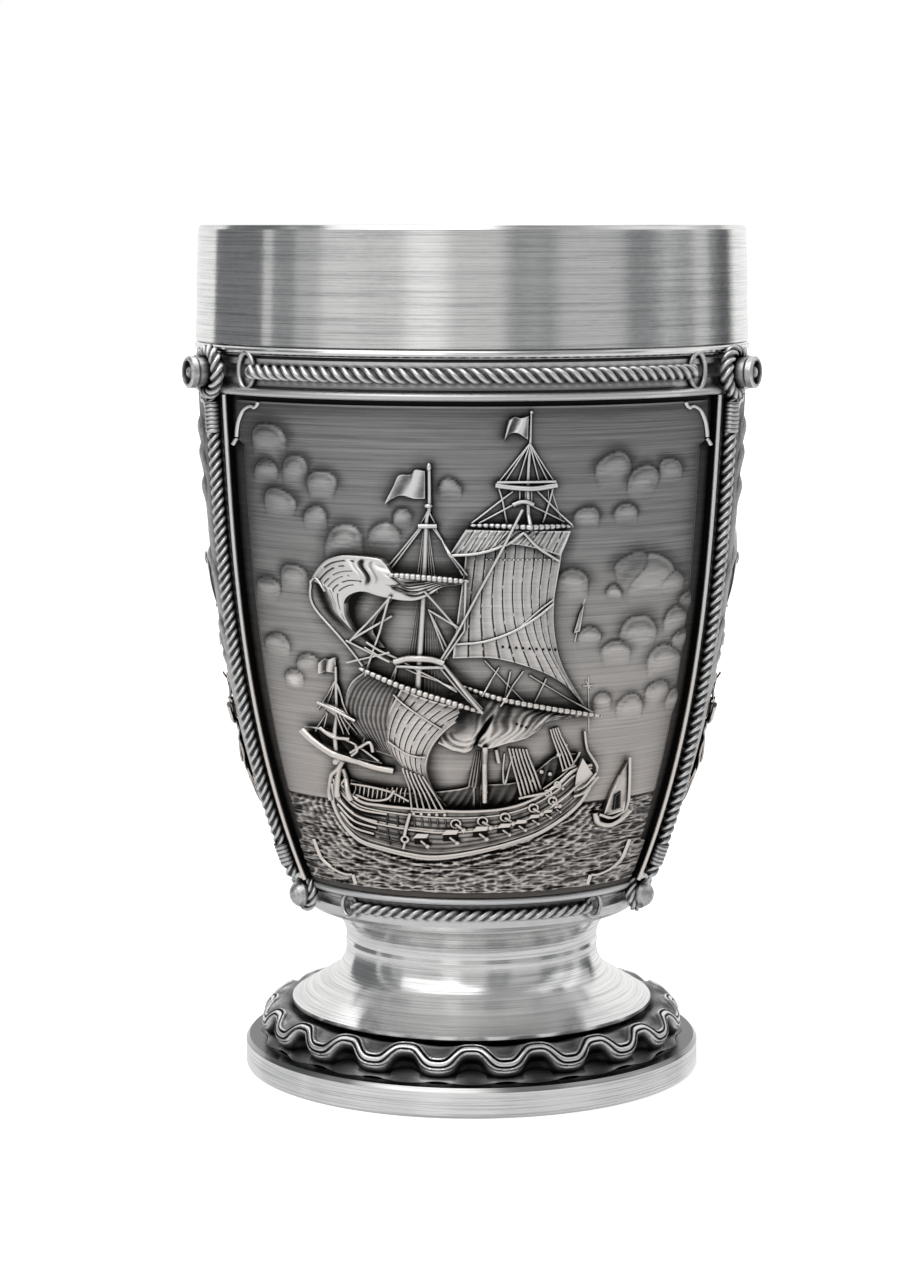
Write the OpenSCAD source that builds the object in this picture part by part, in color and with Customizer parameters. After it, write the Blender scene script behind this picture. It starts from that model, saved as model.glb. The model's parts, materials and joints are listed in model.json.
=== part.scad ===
// Footed pewter shot cup: a turned bowl dressed with three cast picture plates,
// rope-bound posts between them, and a turned foot with a wavy cast ring.
// Origin: centre of the underside of the base. +Z is up, the front plate faces -Y.

/* [Overall] */
// Height from the table to the drinking edge
cup_h = 63.5; // [61.5:0.5:66]
// Outer radius at the drinking edge
rim_r = 20.3; // [19.9:0.1:20.5]

/* [Body] */
// Radius of the picture surface at the top of the plates
body_top_r = 20.45; // [20.2:0.05:20.6]
// How much the radius shrinks evenly from top to bottom of the plates
body_taper = 1.95; // [1.6:0.05:2.2]
// Extra shrink that rounds the belly in towards the foot
body_belly = 5.4; // [5:0.1:5.6]
// Thickness of the picture plates
plate_t = 1.3; // [1.1:0.1:1.5]
// Wall of the bowl behind the plates
bowl_wall = 1.0; // [0.8:0.1:1.2]
// Angle between the two front posts; the other two plates share the rest
front_span = 126; // [123:1:129]
// Angle that each post covers between two plates
post_angle = 4.2; // [3.8:0.2:5]

/* [Rope trim] */
// Radius of the rope on the posts
post_rope_r = 0.5; // [0.45:0.05:0.6]
// Radius of the rope in the upper collar
upper_rope_r = 0.55; // [0.45:0.05:0.6]
// Radius of the rope in the lower collar
lower_rope_r = 0.45; // [0.35:0.05:0.5]
// Radius of the bollards at the tops of the posts
stud_r = 1.15; // [1:0.05:1.3]
// Radius of the knobs at the feet of the posts
knob_r = 1.05; // [0.9:0.05:1.1]

/* [Foot] */
// Outer radius of the base plate
base_r = 17.25; // [17:0.05:18]
// Height of the base plate's rim
base_h = 2.2; // [2:0.1:2.3]
// Radius at the narrowest place of the neck
neck_r = 9.55; // [9.3:0.05:9.8]
// Outer radius of the flared foot of the stem
flare_r = 13.7; // [13.4:0.05:13.8]
// Outer radius of the wavy ring
ring_r = 15.9; // [15.7:0.05:16.1]
// Number of lobes around the wavy ring
lobes = 20; // [16:1:26]

/* [Hidden] */
$fn = 96;

// Angles of the posts and of the plates' middles, anticlockwise from +X
front_a = -90;
post_right_a = front_a + front_span / 2;
post_back_a = 90;
post_left_a = front_a - front_span / 2;
right_a = (post_right_a + post_back_a) / 2;
left_a = 180 - right_a;
post_angles = [post_right_a, post_back_a, post_left_a];
panel_angles = [front_a, right_a, left_a];
// Half of the angle from post to post, and of the angle that a plate fills
front_half = front_span / 2;
side_half = (360 - front_span) / 4;
bay_halves = [front_half, side_half, side_half];
front_plate = front_half - post_angle / 2;
side_plate = side_half - post_angle / 2;

// Heights, from the table upwards
stem_seat_z = base_h;
flare_z = 5.1;
neck_z = 9.5;
bowl_z = 13.2;
lower_bead_z = 15.1;
plate_z0 = 15.4;
plate_z1 = 51.5;
lip_z = 54.4;
band_z = 55.1;
floor_z = 14.4;
lower_rope_z = 13.97;
upper_rope_z = 53.26;

// Colours of brushed, dark and polished pewter
bright = [0.78, 0.78, 0.76];
dark = [0.42, 0.41, 0.41];
mid = [0.6, 0.6, 0.59];

// Radius of the picture surface at height z
fade_z = 52;
fade_h = 39;
function fade(z) = (fade_z - z) / fade_h;
function body_r(z) = body_top_r - body_taper * fade(z) - body_belly * pow(fade(z), 3);
// Heights of the steps that a body profile is drawn with
function steps(z0, z1, n) = [for (i = [0:n]) z0 + (z1 - z0) * i / n];
// Body profile between two heights, moved outwards by off
function skin(z0, z1, off, n = 16) = [for (z = steps(z0, z1, n)) [body_r(z) + off, z]];
function back(list) = [for (i = [len(list) - 1:-1:0]) list[i]];
function arc(cx, cz, r, a0, a1, n = 8) =
    [for (i = [0:n]) let (a = a0 + (a1 - a0) * i / n) [cx + r * cos(a), cz + r * sin(a)]];

// Turns a profile through the angles centre - half to centre + half
module sector(centre, half) {
    rotate_extrude(angle = 2 * half, start = centre - half) children();
}

// Puts a child, drawn along +X at radius r and height z, at angle a
module at(a, r, z) {
    rotate([0, 0, a]) translate([r, 0, z]) children();
}

// ---- bowl ----
bowl_out = skin(plate_z0, plate_z1, -plate_t);
collar_in_r = body_r(plate_z1) - plate_t;
bowl_in = skin(18, plate_z1, -plate_t - bowl_wall, 14);
lip_r = body_top_r + 0.25;

module bowl() {
    color(bright) rotate_extrude($fn = 180) polygon(concat(
        [[0, bowl_z], [10.9, bowl_z]],
        bowl_out,
        [[collar_in_r, lip_z], [lip_r - 0.15, lip_z]],
        arc(lip_r - 0.3, lip_z + 0.3, 0.3, -60, 90, 5),
        [[rim_r + 0.28, band_z], [rim_r, cup_h - 0.3],
         [rim_r - 0.15, cup_h], [rim_r - 0.75, cup_h], [rim_r - 0.95, cup_h - 0.25]],
        back(bowl_in),
        back(arc(9, 18, 3.6, -90, -12, 5)),
        [[0, floor_z]]));
}

// ---- collars ----
module upper_collar() {
    color(dark) difference() {
        upper_collar_ring();
        upper_collar_seats();
    }
}

module upper_collar_ring() {
    face_r = body_top_r - 0.05;
    rotate_extrude($fn = 180) difference() {
        polygon(concat(
            [[collar_in_r, plate_z1], [body_r(plate_z1) + 0.1, plate_z1]],
            arc(body_top_r + 0.15, plate_z1 + 0.3, 0.3, -60, 80, 6),
            [[face_r, plate_z1 + 0.75], [face_r, lip_z - 0.25],
             [face_r - 0.25, lip_z], [collar_in_r, lip_z]]));
        translate([upper_rope_seat, upper_rope_z]) circle(upper_rope_r, $fn = 24);
    }
}

// The upper collar is cut flat around each bollard, where the rope's eye lies
module upper_collar_seats() {
    for (a = post_angles)
        at(a, body_top_r - 0.05, stud_z) rotate([0, 90, 0])
            cylinder(r = stud_eye_r + 0.5, h = 3, $fn = 48);
}

lower_face_r = 13.05;
lower_rope_seat = lower_face_r + 0.2;
upper_rope_seat = body_top_r + 0.2;

module lower_collar() {
    color(dark) rotate_extrude($fn = 180) difference() {
        polygon(concat(
            [[10.9, 12.4], [12.4, 12.6], [12.8, 12.95], [12.85, 13.3],
             [lower_face_r + 0.2, 14.7]],
            arc(13.6, lower_bead_z, 0.3, -70, 80, 6),
            [[body_r(plate_z0) - plate_t, plate_z0], [10.9, bowl_z]]));
        translate([lower_rope_seat, lower_rope_z]) circle(lower_rope_r, $fn = 24);
    }
}

// ---- picture plates ----
// Upright outlines of the ship as [x, z], looking at the plate
hull = [[-9.8, 25.3], [-9.4, 23], [-8.6, 20.8], [-7, 19.2], [-4, 18.6], [0, 18.8],
        [4, 19.8], [6.6, 21.2], [8, 23.4], [8.3, 25.4], [7, 25.5], [6.2, 23.9],
        [3, 23.2], [-1.5, 22.6], [-5, 23.4], [-7.5, 24.8]];
fore_topsail = [[0.2, 42.9], [6.6, 42.8], [5.7, 39.5], [5.6, 35.5], [6.6, 32],
                [7.6, 30], [3.5, 31.9], [-1.4, 32.8], [-0.8, 37]];
fore_course = [[0.9, 29.8], [7.6, 29.8], [5.8, 27.7], [2.5, 26.8], [-1.2, 27.2]];
main_topsail = [[-0.4, 39.2], [-3.4, 38.9], [-6.4, 40.4], [-9, 40.6], [-11, 38.4],
                [-10.4, 36.4], [-8.7, 34], [-7, 31.9], [-8.2, 35], [-7.6, 37.4], [-4, 37.6]];
main_course = [[-7.5, 32.5], [0.8, 29.8], [-1.6, 27.2], [-2.5, 24.6], [-1.6, 22.7],
               [-4.2, 24], [-6.2, 27]];
lateen = [[-11.6, 27.4], [-9.6, 29.8], [-5.6, 25.4], [-9, 26]];
small_boat = [[8.4, 21.2], [9.8, 20.2], [10.8, 21.2], [11.2, 25.2], [9, 22.4]];
// Masts as [x at the foot, z at the foot, x at the top, z at the top]
masts = [[1.7, 24, 4, 50.4], [-3.8, 23.5, -2.9, 47.2], [-10.2, 24.8, -9.5, 33]];
relief_h = 1.1;
mast_w = 0.35;

module ship_outline() {
    for (shape = [hull, fore_topsail, fore_course, main_topsail, main_course, lateen, small_boat])
        polygon(shape);
    for (m = masts)
        polygon([[m[0] - mast_w, m[1]], [m[0] + mast_w, m[1]], [m[2] + mast_w / 2, m[3]],
                 [m[2] - mast_w / 2, m[3]]]);
}

// A shell that follows the body between two offsets from the picture surface
module shell(z0, z1, inner, outer, n = 16) {
    polygon(concat(skin(z0, z1, inner, n), back(skin(z0, z1, outer, n))));
}

frame_step = 0.35;
border_angle = 7;
ridge_angle = 1;

module panel(a, half) {
    color(mid) {
        // plate, standing back along its borders
        sector(a, half) shell(plate_z0, plate_z1, -plate_t, -frame_step);
        // bright ridge along each upright edge
        for (side = [-1, 1])
            sector(a + side * (half - ridge_angle / 2), ridge_angle / 2)
                shell(plate_z0, plate_z1, -frame_step - 0.1, 0.3);
        // picture ground
        sector(a, half - border_angle)
            shell(plate_z0 + 0.5, plate_z1 - 0.3, -frame_step - 0.1, 0);
        // raised ship, cut from the outline and laid round the body
        intersection() {
            rotate([0, 0, a + 90]) rotate([90, 0, 0]) linear_extrude(body_top_r + 5)
                ship_outline();
            sector(a, half - border_angle)
                shell(plate_z0 + 0.5, plate_z1 - 0.5, -frame_step, relief_h);
        }
    }
}

// ---- posts ----
post_proud = 0.2;

module post(a) {
    color(dark) sector(a, post_angle / 2) shell(plate_z0, plate_z1, -plate_t, post_proud);
}

// ---- rope on a post ----
rope_sides = 10;
rope_back = -0.75 * post_rope_r;
rope_z0 = plate_z0 + 0.6;
rope_z1 = plate_z1 - 0.4;
rope_rings = 18;
rope_seat = post_proud - rope_back;
// Section of the rope with a flat back that lies on the post: [outwards, sideways]
rope_section = [for (i = [0:rope_sides - 1])
    let (t = 360 * (i + 0.5) / rope_sides)
    [max(post_rope_r * cos(t), rope_back), post_rope_r * sin(t)]];
rope_points = [for (z = steps(rope_z0, rope_z1, rope_rings)) for (p = rope_section)
    [body_r(z) + rope_seat + p[0], p[1], z]];
rope_sides_faces = [for (k = [0:rope_rings - 1]) for (i = [0:rope_sides - 1])
    let (j = (i + 1) % rope_sides, b = k * rope_sides)
    [b + i, b + rope_sides + i, b + rope_sides + j, b + j]];
rope_ends = [[for (i = [0:rope_sides - 1]) i],
             [for (i = [rope_sides - 1:-1:0]) rope_rings * rope_sides + i]];

// Round eye of rope, lying against the body and seen from outside
module eye(r, thick) {
    rotate([0, 90, 0]) rotate_extrude($fn = 48) translate([r, 0]) circle(thick, $fn = 20);
}

stud_z = 53.05;
knob_z = 14.2;
stud_eye_r = stud_r + 0.45;
eye_seat = 0.7;
eye_thick = 0.42;

module post_rope(a) {
    color(bright) {
        rotate([0, 0, a]) polyhedron(rope_points, concat(rope_sides_faces, rope_ends));
        at(a, body_top_r + eye_seat, stud_z) eye(stud_eye_r, eye_thick);
    }
}

// ---- ropes in the collars ----
// How far short of the post's middle a collar rope ends
upper_rope_end = 13;
lower_rope_end = 22;

module upper_rope(a, half) {
    color(bright) sector(a, half - upper_rope_end)
        translate([upper_rope_seat, upper_rope_z]) circle(upper_rope_r, $fn = 24);
}

module lower_rope(a, half) {
    color(bright) sector(a, half - lower_rope_end)
        translate([lower_rope_seat, lower_rope_z]) circle(lower_rope_r, $fn = 24);
}

// ---- eyelets ----
// Half width and half height of the eyelets' openings
upper_eyelet = [0.75, 1.15];
lower_eyelet = [0.55, 0.8];

// Oval ring standing on a collar face around the end of its rope
module eyelet(size, wall, depth) {
    rotate([0, 90, 0]) linear_extrude(depth) difference() {
        oval(size[1] + wall, size[0] + wall);
        oval(size[1], size[0]);
    }
}

// Oval drawn by two round ends and a straight middle
module oval(half_h, half_w) {
    straight = half_h - half_w;
    for (side = [-1, 1]) translate([side * straight, 0]) circle(half_w, $fn = 32);
    square([2 * straight + 0.001, 2 * half_w], center = true);
}

eyelet_wall = 0.3;

module upper_eyelets() {
    color(bright) difference() {
        for (i = [0:2], side = [-1, 1])
            at(panel_angles[i] + side * (bay_halves[i] - upper_rope_end + 1),
               body_top_r - 0.05, upper_rope_z)
                eyelet(upper_eyelet, eyelet_wall, 0.6);
        for (i = [0:2]) upper_rope(panel_angles[i], bay_halves[i]);
    }
}

module lower_eyelets() {
    color(bright) difference() {
        for (i = [0:2], side = [-1, 1])
            at(panel_angles[i] + side * (bay_halves[i] - lower_rope_end + 1.5),
               lower_face_r + 0.05, lower_rope_z + 0.05)
                eyelet(lower_eyelet, eyelet_wall, 0.5);
        for (i = [0:2]) lower_rope(panel_angles[i], bay_halves[i]);
    }
}

// ---- bollards and knobs on the posts ----
stud_len = 2.5;

module studs() {
    color(bright) for (a = post_angles)
        at(a, body_top_r - 0.05, stud_z) rotate([0, 90, 0]) rotate_extrude($fn = 48) polygon([
            [0, 0], [stud_r - 0.1, 0], [stud_r - 0.1, stud_len - 0.7],
            [stud_r, stud_len - 0.5], [stud_r, stud_len - 0.1], [stud_r - 0.15, stud_len],
            [stud_r - 0.3, stud_len], [stud_r - 0.4, stud_len - 0.35],
            [stud_r - 0.55, stud_len - 0.35], [stud_r - 0.85, stud_len - 0.05], [0, stud_len + 0.05]]);
}

module knobs() {
    color(bright) for (a = post_angles)
        at(a, lower_face_r + 0.1, knob_z) rotate([0, 90, 0]) rotate_extrude($fn = 48)
            polygon(concat([[0, 0], [knob_r * 0.7, 0]],
                arc(0, 0.9, knob_r, -30, 90, 8)));
}

// ---- foot ----
bore_r = 8;
skirt_r = 12.2;
boss_r = 11.5;
boss_h = 1.2;
scotia_r = 2.6;
flare_a = 59;

module stem() {
    color(bright) rotate_extrude($fn = 180) polygon(concat(
        [[boss_r, stem_seat_z], [skirt_r, stem_seat_z], [skirt_r, flare_z - 0.4],
         [flare_r - 0.1, flare_z - 0.4], [flare_r, flare_z - 0.25], [flare_r, flare_z]],
        arc(neck_r + scotia_r, neck_z - 0.4, scotia_r, 180 + flare_a, 180, 10),
        [[neck_r + 0.06, neck_z]],
        arc(neck_r + scotia_r, neck_z + 0.3, scotia_r, 180, 180 - 64, 10),
        [[10.9, 12.4], [10.9, bowl_z], [bore_r, bowl_z], [bore_r, neck_z - 0.6],
         [boss_r - 1.2, 5.2], [boss_r, 4.2]]));
}

module wave_ring() {
    color(dark) difference() {
        rotate_extrude($fn = 180) polygon([
            [skirt_r, base_h], [ring_r - 0.5, base_h], [ring_r, base_h + 0.6],
            [ring_r, base_h + 1.6], [ring_r - 0.25, base_h + 2.1], [ring_r - 0.7, base_h + 2.45],
            [ring_r - 1.3, base_h + 2.7], [ring_r - 1.8, base_h + 2.7],
            [flare_r, base_h + 2.45], [skirt_r, base_h + 2.45]]);
        // hollows between the lobes
        for (i = [0:lobes - 1])
            at(360 * i / lobes, ring_r + 0.15, base_h + 0.5) sphere(0.95, $fn = 24);
    }
}

module base() {
    groove_r = base_r - 3.2;
    color(bright) rotate_extrude($fn = 180) polygon([
        [0, 0], [groove_r - 0.8, 0], [groove_r - 0.5, 0.4], [groove_r + 0.5, 0.4],
        [groove_r + 0.8, 0], [base_r - 0.15, 0], [base_r, 0.2],
        [base_r, base_h - 0.3], [base_r - 0.25, base_h], [boss_r, base_h],
        [boss_r, base_h + boss_h], [0, base_h + boss_h]]);
}

bowl();
upper_collar();
lower_collar();
panel(front_a, front_plate);  // panel_front
panel(right_a, side_plate);  // panel_right
panel(left_a, side_plate);  // panel_left
post(post_right_a);  // post_right
post(post_back_a);  // post_back
post(post_left_a);  // post_left
post_rope(post_right_a);  // rope_right
post_rope(post_back_a);  // rope_back
post_rope(post_left_a);  // rope_left
upper_rope(front_a, front_half);  // upper_rope_front
upper_rope(right_a, side_half);  // upper_rope_right
upper_rope(left_a, side_half);  // upper_rope_left
lower_rope(front_a, front_half);  // lower_rope_front
lower_rope(right_a, side_half);  // lower_rope_right
lower_rope(left_a, side_half);  // lower_rope_left
upper_eyelets();
lower_eyelets();
studs();
knobs();
stem();
wave_ring();
base();
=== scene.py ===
import json
import math

import bpy
import numpy as np
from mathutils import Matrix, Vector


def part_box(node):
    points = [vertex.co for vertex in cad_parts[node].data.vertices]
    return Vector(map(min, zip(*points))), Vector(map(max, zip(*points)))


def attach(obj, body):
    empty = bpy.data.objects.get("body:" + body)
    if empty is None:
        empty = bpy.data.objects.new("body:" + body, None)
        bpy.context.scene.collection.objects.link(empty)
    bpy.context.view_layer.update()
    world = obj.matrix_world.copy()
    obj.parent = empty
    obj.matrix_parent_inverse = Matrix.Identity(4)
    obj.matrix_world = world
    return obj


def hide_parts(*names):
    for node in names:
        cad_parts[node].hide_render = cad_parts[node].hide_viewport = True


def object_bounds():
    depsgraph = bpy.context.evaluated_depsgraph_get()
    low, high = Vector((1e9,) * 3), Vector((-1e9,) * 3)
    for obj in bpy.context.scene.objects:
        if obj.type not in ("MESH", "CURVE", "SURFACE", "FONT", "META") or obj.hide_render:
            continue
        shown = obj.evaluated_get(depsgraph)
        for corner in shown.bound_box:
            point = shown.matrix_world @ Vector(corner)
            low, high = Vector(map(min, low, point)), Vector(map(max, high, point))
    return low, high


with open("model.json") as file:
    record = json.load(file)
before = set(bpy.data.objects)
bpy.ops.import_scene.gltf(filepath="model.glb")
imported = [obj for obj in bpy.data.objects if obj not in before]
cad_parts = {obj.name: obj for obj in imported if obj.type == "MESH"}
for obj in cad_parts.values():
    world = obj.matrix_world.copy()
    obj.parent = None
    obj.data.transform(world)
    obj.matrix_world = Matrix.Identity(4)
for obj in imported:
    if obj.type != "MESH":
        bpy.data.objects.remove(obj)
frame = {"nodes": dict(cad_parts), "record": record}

cad_box = [list(corner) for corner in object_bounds()]
nodes = frame["nodes"]

# ---- measures -------------------------------------------------------------------------------
# Lengths below are the cup's own millimetres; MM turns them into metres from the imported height.
CUP_H = 63.5
MM = cad_box[1][2] / CUP_H
PLATE_Z0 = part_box("post_back")[0].z / MM
PLATE_Z1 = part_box("post_back")[1].z / MM


def body_r(z):
    """Radius of the picture surface at height z."""
    fade = (52 - np.asarray(z, float)) / 39
    return 20.45 - 1.95 * fade - 5.4 * fade**3


def node_angle(name):
    """Angle of a CAD node round the cup, in degrees from the front and positive to the right."""
    co = np.array([v.co for v in nodes[name].data.vertices])
    x, y = co[:, 0].mean(), co[:, 1].mean()
    return math.degrees(math.atan2(x, -y))


POST_ANGLES = {side: node_angle("post_" + side) for side in ("right", "back", "left")}
FRONT_HALF = POST_ANGLES["right"]
SIDE_HALF = (180 - FRONT_HALF) / 2
BAYS = {"front": (0.0, FRONT_HALF),
        "right": (FRONT_HALF + SIDE_HALF, SIDE_HALF),
        "left": (-FRONT_HALF - SIDE_HALF, SIDE_HALF)}
POST_HALF = 2.1  # half of the angle that a post covers


# ---- mesh helpers ---------------------------------------------------------------------------
SHARP = 55  # edges that turn by more degrees than this are shaded sharp


def sharpness(mesh):
    """At each point 0.5 where the surface is flat, more on an outer edge and less in a corner."""
    count = len(mesh.vertices)
    points = np.empty(count * 3, np.float32)
    mesh.vertices.foreach_get("co", points)
    points = points.reshape(-1, 3).astype(float)
    normals = np.empty(count * 3, np.float32)
    mesh.vertex_normals.foreach_get("vector", normals)
    normals = normals.reshape(-1, 3)
    ends = np.empty(len(mesh.edges) * 2, np.int32)
    mesh.edges.foreach_get("vertices", ends)
    ends = ends.reshape(-1, 2)
    way = points[ends[:, 1]] - points[ends[:, 0]]
    way = way / np.maximum(np.linalg.norm(way, axis=1, keepdims=True), 1e-9)
    meeting = np.maximum(np.bincount(ends.ravel(), minlength=count), 1)
    mean = np.stack([np.bincount(ends[:, 0], way[:, k], count)
                     - np.bincount(ends[:, 1], way[:, k], count)
                     for k in range(3)], -1) / meeting[:, None]
    value = np.arccos(np.clip(np.sum(normals * mean, 1), -1, 1)) / np.pi
    spread = np.bincount(ends[:, 0], value[ends[:, 1]], count)
    spread = spread + np.bincount(ends[:, 1], value[ends[:, 0]], count)
    return 0.5 * value + 0.5 * spread / meeting


class Heap:
    """Vertices and faces gathered from many shapes that become one mesh."""

    def __init__(self):
        self.points = []
        self.ink = []
        self.faces = {}
        self.count = 0

    def add(self, points, *face_lists, ink=0.0):
        """Adds points and faces; the value given darkens the metal there for patina and painted shade, or
        below zero polishes it and paints highlights.
        """
        points = np.asarray(points, float).reshape(-1, 3)
        for faces in face_lists:
            faces = np.asarray(faces, int)
            if len(faces):
                self.faces.setdefault(faces.shape[1], []).append(faces + self.count)
        self.points.append(points)
        self.ink.append(np.broadcast_to(ink, len(points)).astype(float).copy())
        self.count += len(points)

    def paint(self, start, ink):
        """Sets the patina and painted light of every point added since the heap held start points."""
        tail = np.broadcast_to(ink, self.count - start)
        done = self.count
        for values in reversed(self.ink):
            done -= len(values)
            if done < start:
                break
            values[:] = tail[done - start:done - start + len(values)]

    def flip(self):
        """Turns every face over."""
        for lists in self.faces.values():
            lists[:] = [faces[:, ::-1] for faces in lists]

    def mesh(self, name):
        """The heap as a mesh in metres, with its patina and painted light and its sharpness at every
        point.
        """
        points = np.concatenate(self.points) * MM
        loops = []
        sizes = []
        for corners, lists in self.faces.items():
            faces = np.concatenate(lists)
            loops.append(faces.ravel())
            sizes.append(np.full(len(faces), corners))
        loops = np.concatenate(loops)
        sizes = np.concatenate(sizes)
        mesh = bpy.data.meshes.new(name)
        mesh.vertices.add(len(points))
        mesh.vertices.foreach_set("co", points.astype(np.float32).ravel())
        mesh.loops.add(len(loops))
        mesh.loops.foreach_set("vertex_index", loops.astype(np.int32))
        mesh.polygons.add(len(sizes))
        starts = np.concatenate([[0], np.cumsum(sizes)[:-1]])
        mesh.polygons.foreach_set("loop_start", starts.astype(np.int32))
        mesh.update(calc_edges=True)
        patina_and_painted_light = mesh.attributes.new("ink", "FLOAT", "POINT")
        patina_and_painted_light.data.foreach_set("value", np.concatenate(self.ink).astype(np.float32))
        edge = mesh.attributes.new("edge", "FLOAT", "POINT")
        edge.data.foreach_set("value", sharpness(mesh).astype(np.float32))
        mesh.shade_smooth()
        mesh.set_sharp_from_angle(angle=math.radians(SHARP))
        return mesh


def scene_object(name, data):
    """A new object in the scene."""
    obj = bpy.data.objects.new(name, data)
    bpy.context.scene.collection.objects.link(obj)
    return obj


def piece(name, heap, material, replaced):
    """Makes a heap into a piece of the cup that stands for the CAD node replaced."""
    mesh = heap.mesh(name)
    mesh.materials.append(material)
    obj = scene_object(name, mesh)
    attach(obj, "root")
    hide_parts(replaced)


def grid_faces(rows, columns, close_rows=False, close_columns=False):
    """Quads of a grid of points stored row by row."""
    i = np.arange(rows if close_rows else rows - 1)
    j = np.arange(columns if close_columns else columns - 1)
    i, j = np.meshgrid(i, j, indexing="ij")
    i2, j2 = (i + 1) % rows, (j + 1) % columns
    quads = [i * columns + j, i * columns + j2, i2 * columns + j2, i2 * columns + j]
    return np.stack(quads, -1).reshape(-1, 4)


def rim_of(rows, columns):
    """The numbers of the points round the edge of a grid stored row by row, in order."""
    number = np.arange(rows * columns).reshape(rows, columns)
    return np.concatenate([number[0, :-1], number[:-1, -1], number[-1, :0:-1], number[:0:-1, 0]])


def smooth_step(value, low, high):
    """Runs from 0 at low to 1 at high, level at both ends."""
    t = np.clip((value - low) / (high - low), 0, 1)
    return t * t * (3 - 2 * t)


def unit(vectors):
    """The vectors at length one."""
    return vectors / np.maximum(np.linalg.norm(vectors, axis=-1, keepdims=True), 1e-12)


def resample(points, step):
    """A smooth line through the points, with a point every step."""
    points = np.asarray(points, float)
    if len(points) > 2:
        p = np.vstack([2 * points[0] - points[1], points, 2 * points[-1] - points[-2]])
        t = np.linspace(0, 1, 13)[:-1, None]
        spans = [0.5 * (2 * b + (c - a) * t + (2 * a - 5 * b + 4 * c - d) * t**2
                        + (3 * b - a - 3 * c + d) * t**3)
                 for a, b, c, d in zip(p[:-3], p[1:-2], p[2:-1], p[3:])]
        points = np.vstack(spans + [points[-1:]])
    run = np.concatenate([[0], np.cumsum(np.linalg.norm(np.diff(points, axis=0), axis=1))])
    n = max(2, int(round(run[-1] / step)) + 1)
    at = np.linspace(0, run[-1], n)
    return np.stack([np.interp(at, run, points[:, k]) for k in range(points.shape[1])], -1)


def line_frames(line, out, closed):
    """Two directions across the line at each point; the first leans towards out."""
    if closed:
        along = np.roll(line, -1, 0) - np.roll(line, 1, 0)
    else:
        along = np.gradient(line, axis=0)
    along = unit(along)
    out = np.broadcast_to(np.asarray(out, float), line.shape)
    across = unit(np.cross(along, out))
    return unit(np.cross(across, along)), across


def sweep(heap, line, out, section, closed):
    """Sweeps sections, one per point or the same for all, as [towards out, across]."""
    up, across = line_frames(line, out, closed)
    section = np.broadcast_to(section, (len(line),) + np.shape(section)[-2:])
    ring = line[:, None] + up[:, None] * section[..., :1] + across[:, None] * section[..., 1:]
    n, m = ring.shape[:2]
    heap.add(ring, grid_faces(n, m, closed, True))
    if not closed:
        for end, order in ((0, 1), (n - 1, -1)):
            middle = ring[end].mean(0)
            k = np.arange(m)
            fan = np.stack([np.full(m, m), k, (k + 1) % m], -1)[:, ::order]
            heap.add(np.vstack([ring[end], middle]), fan)


def tube(heap, line, radius, out=(0, -1, 0), sides=8, closed=False):
    """A round bar along the line; radius may be one number or several spread along it."""
    radius = np.interp(np.linspace(0, 1, len(line)), np.linspace(0, 1, np.size(radius)),
                       np.ravel(radius))
    turn = np.linspace(0, 2 * np.pi, sides, endpoint=False)
    circle = np.stack([np.cos(turn), np.sin(turn)], -1)
    sweep(heap, line, out, circle[None] * radius[:, None, None], closed)


STRAND = 0.464  # radius of a strand in a rope of radius 1
STRAND_OUT = 1 - STRAND
ROPE_SIDES = 36


def rope(heap, line, radius, lay, out, closed=False):
    """Three strands twisted once in every lay of length; a negative lay turns the other way."""
    steps = np.linalg.norm(np.diff(line, axis=0), axis=1)
    run = np.concatenate([[0], np.cumsum(steps)])
    if closed:
        whole = run[-1] + np.linalg.norm(line[0] - line[-1])
        lay = math.copysign(whole / max(1, round(3 * whole / abs(lay))) * 3, lay)
    turn = np.linspace(0, 2 * np.pi, ROPE_SIDES, endpoint=False)
    strand = (turn[None] - 2 * np.pi * run[:, None] / lay) % (2 * np.pi / 3) - np.pi / 3
    reach = STRAND_OUT * np.cos(strand)
    reach = reach + np.sqrt(np.maximum(STRAND**2 - (STRAND_OUT * np.sin(strand))**2, 0))
    reach = radius * np.maximum(reach, 0.6)
    section = np.stack([np.cos(turn) * reach, np.sin(turn) * reach], -1)
    sweep(heap, line, out, section, closed)


def round_the_cup(angle, radius, z):
    """Points at angles from the front, in degrees."""
    a = np.radians(angle)
    return np.stack(np.broadcast_arrays(radius * np.sin(a), -radius * np.cos(a), z), -1)


def outwards(angle):
    """The direction away from the axis at an angle from the front."""
    a = np.radians(angle)
    return np.stack([np.sin(a), -np.cos(a), 0 * a], -1)


# ---- materials ------------------------------------------------------------------------------
def new_material(name):
    """A metal with nothing set yet but its shader."""
    material = bpy.data.materials.new(name)
    material.use_nodes = True
    tree = material.node_tree
    tree.nodes.clear()
    output = tree.nodes.new("ShaderNodeOutputMaterial")
    shader = tree.nodes.new("ShaderNodeBsdfPrincipled")
    shader.inputs["Metallic"].default_value = 1.0
    tree.links.new(shader.outputs[0], output.inputs[0])
    return material, tree, shader


def add(tree, kind, inputs=(), **settings):
    """A node with its settings; inputs maps a socket to a value or to another node's output."""
    made = tree.nodes.new("ShaderNode" + kind)
    for key, value in settings.items():
        setattr(made, key, value)
    for key, value in dict(inputs).items():
        if isinstance(value, bpy.types.NodeSocket):
            tree.links.new(value, made.inputs[key])
        else:
            made.inputs[key].default_value = value
    return made


def math_node(tree, operation, a, b):
    """The outcome of one sum on two numbers or sockets."""
    return add(tree, "Math", {0: a, 1: b}, operation=operation).outputs[0]


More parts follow.
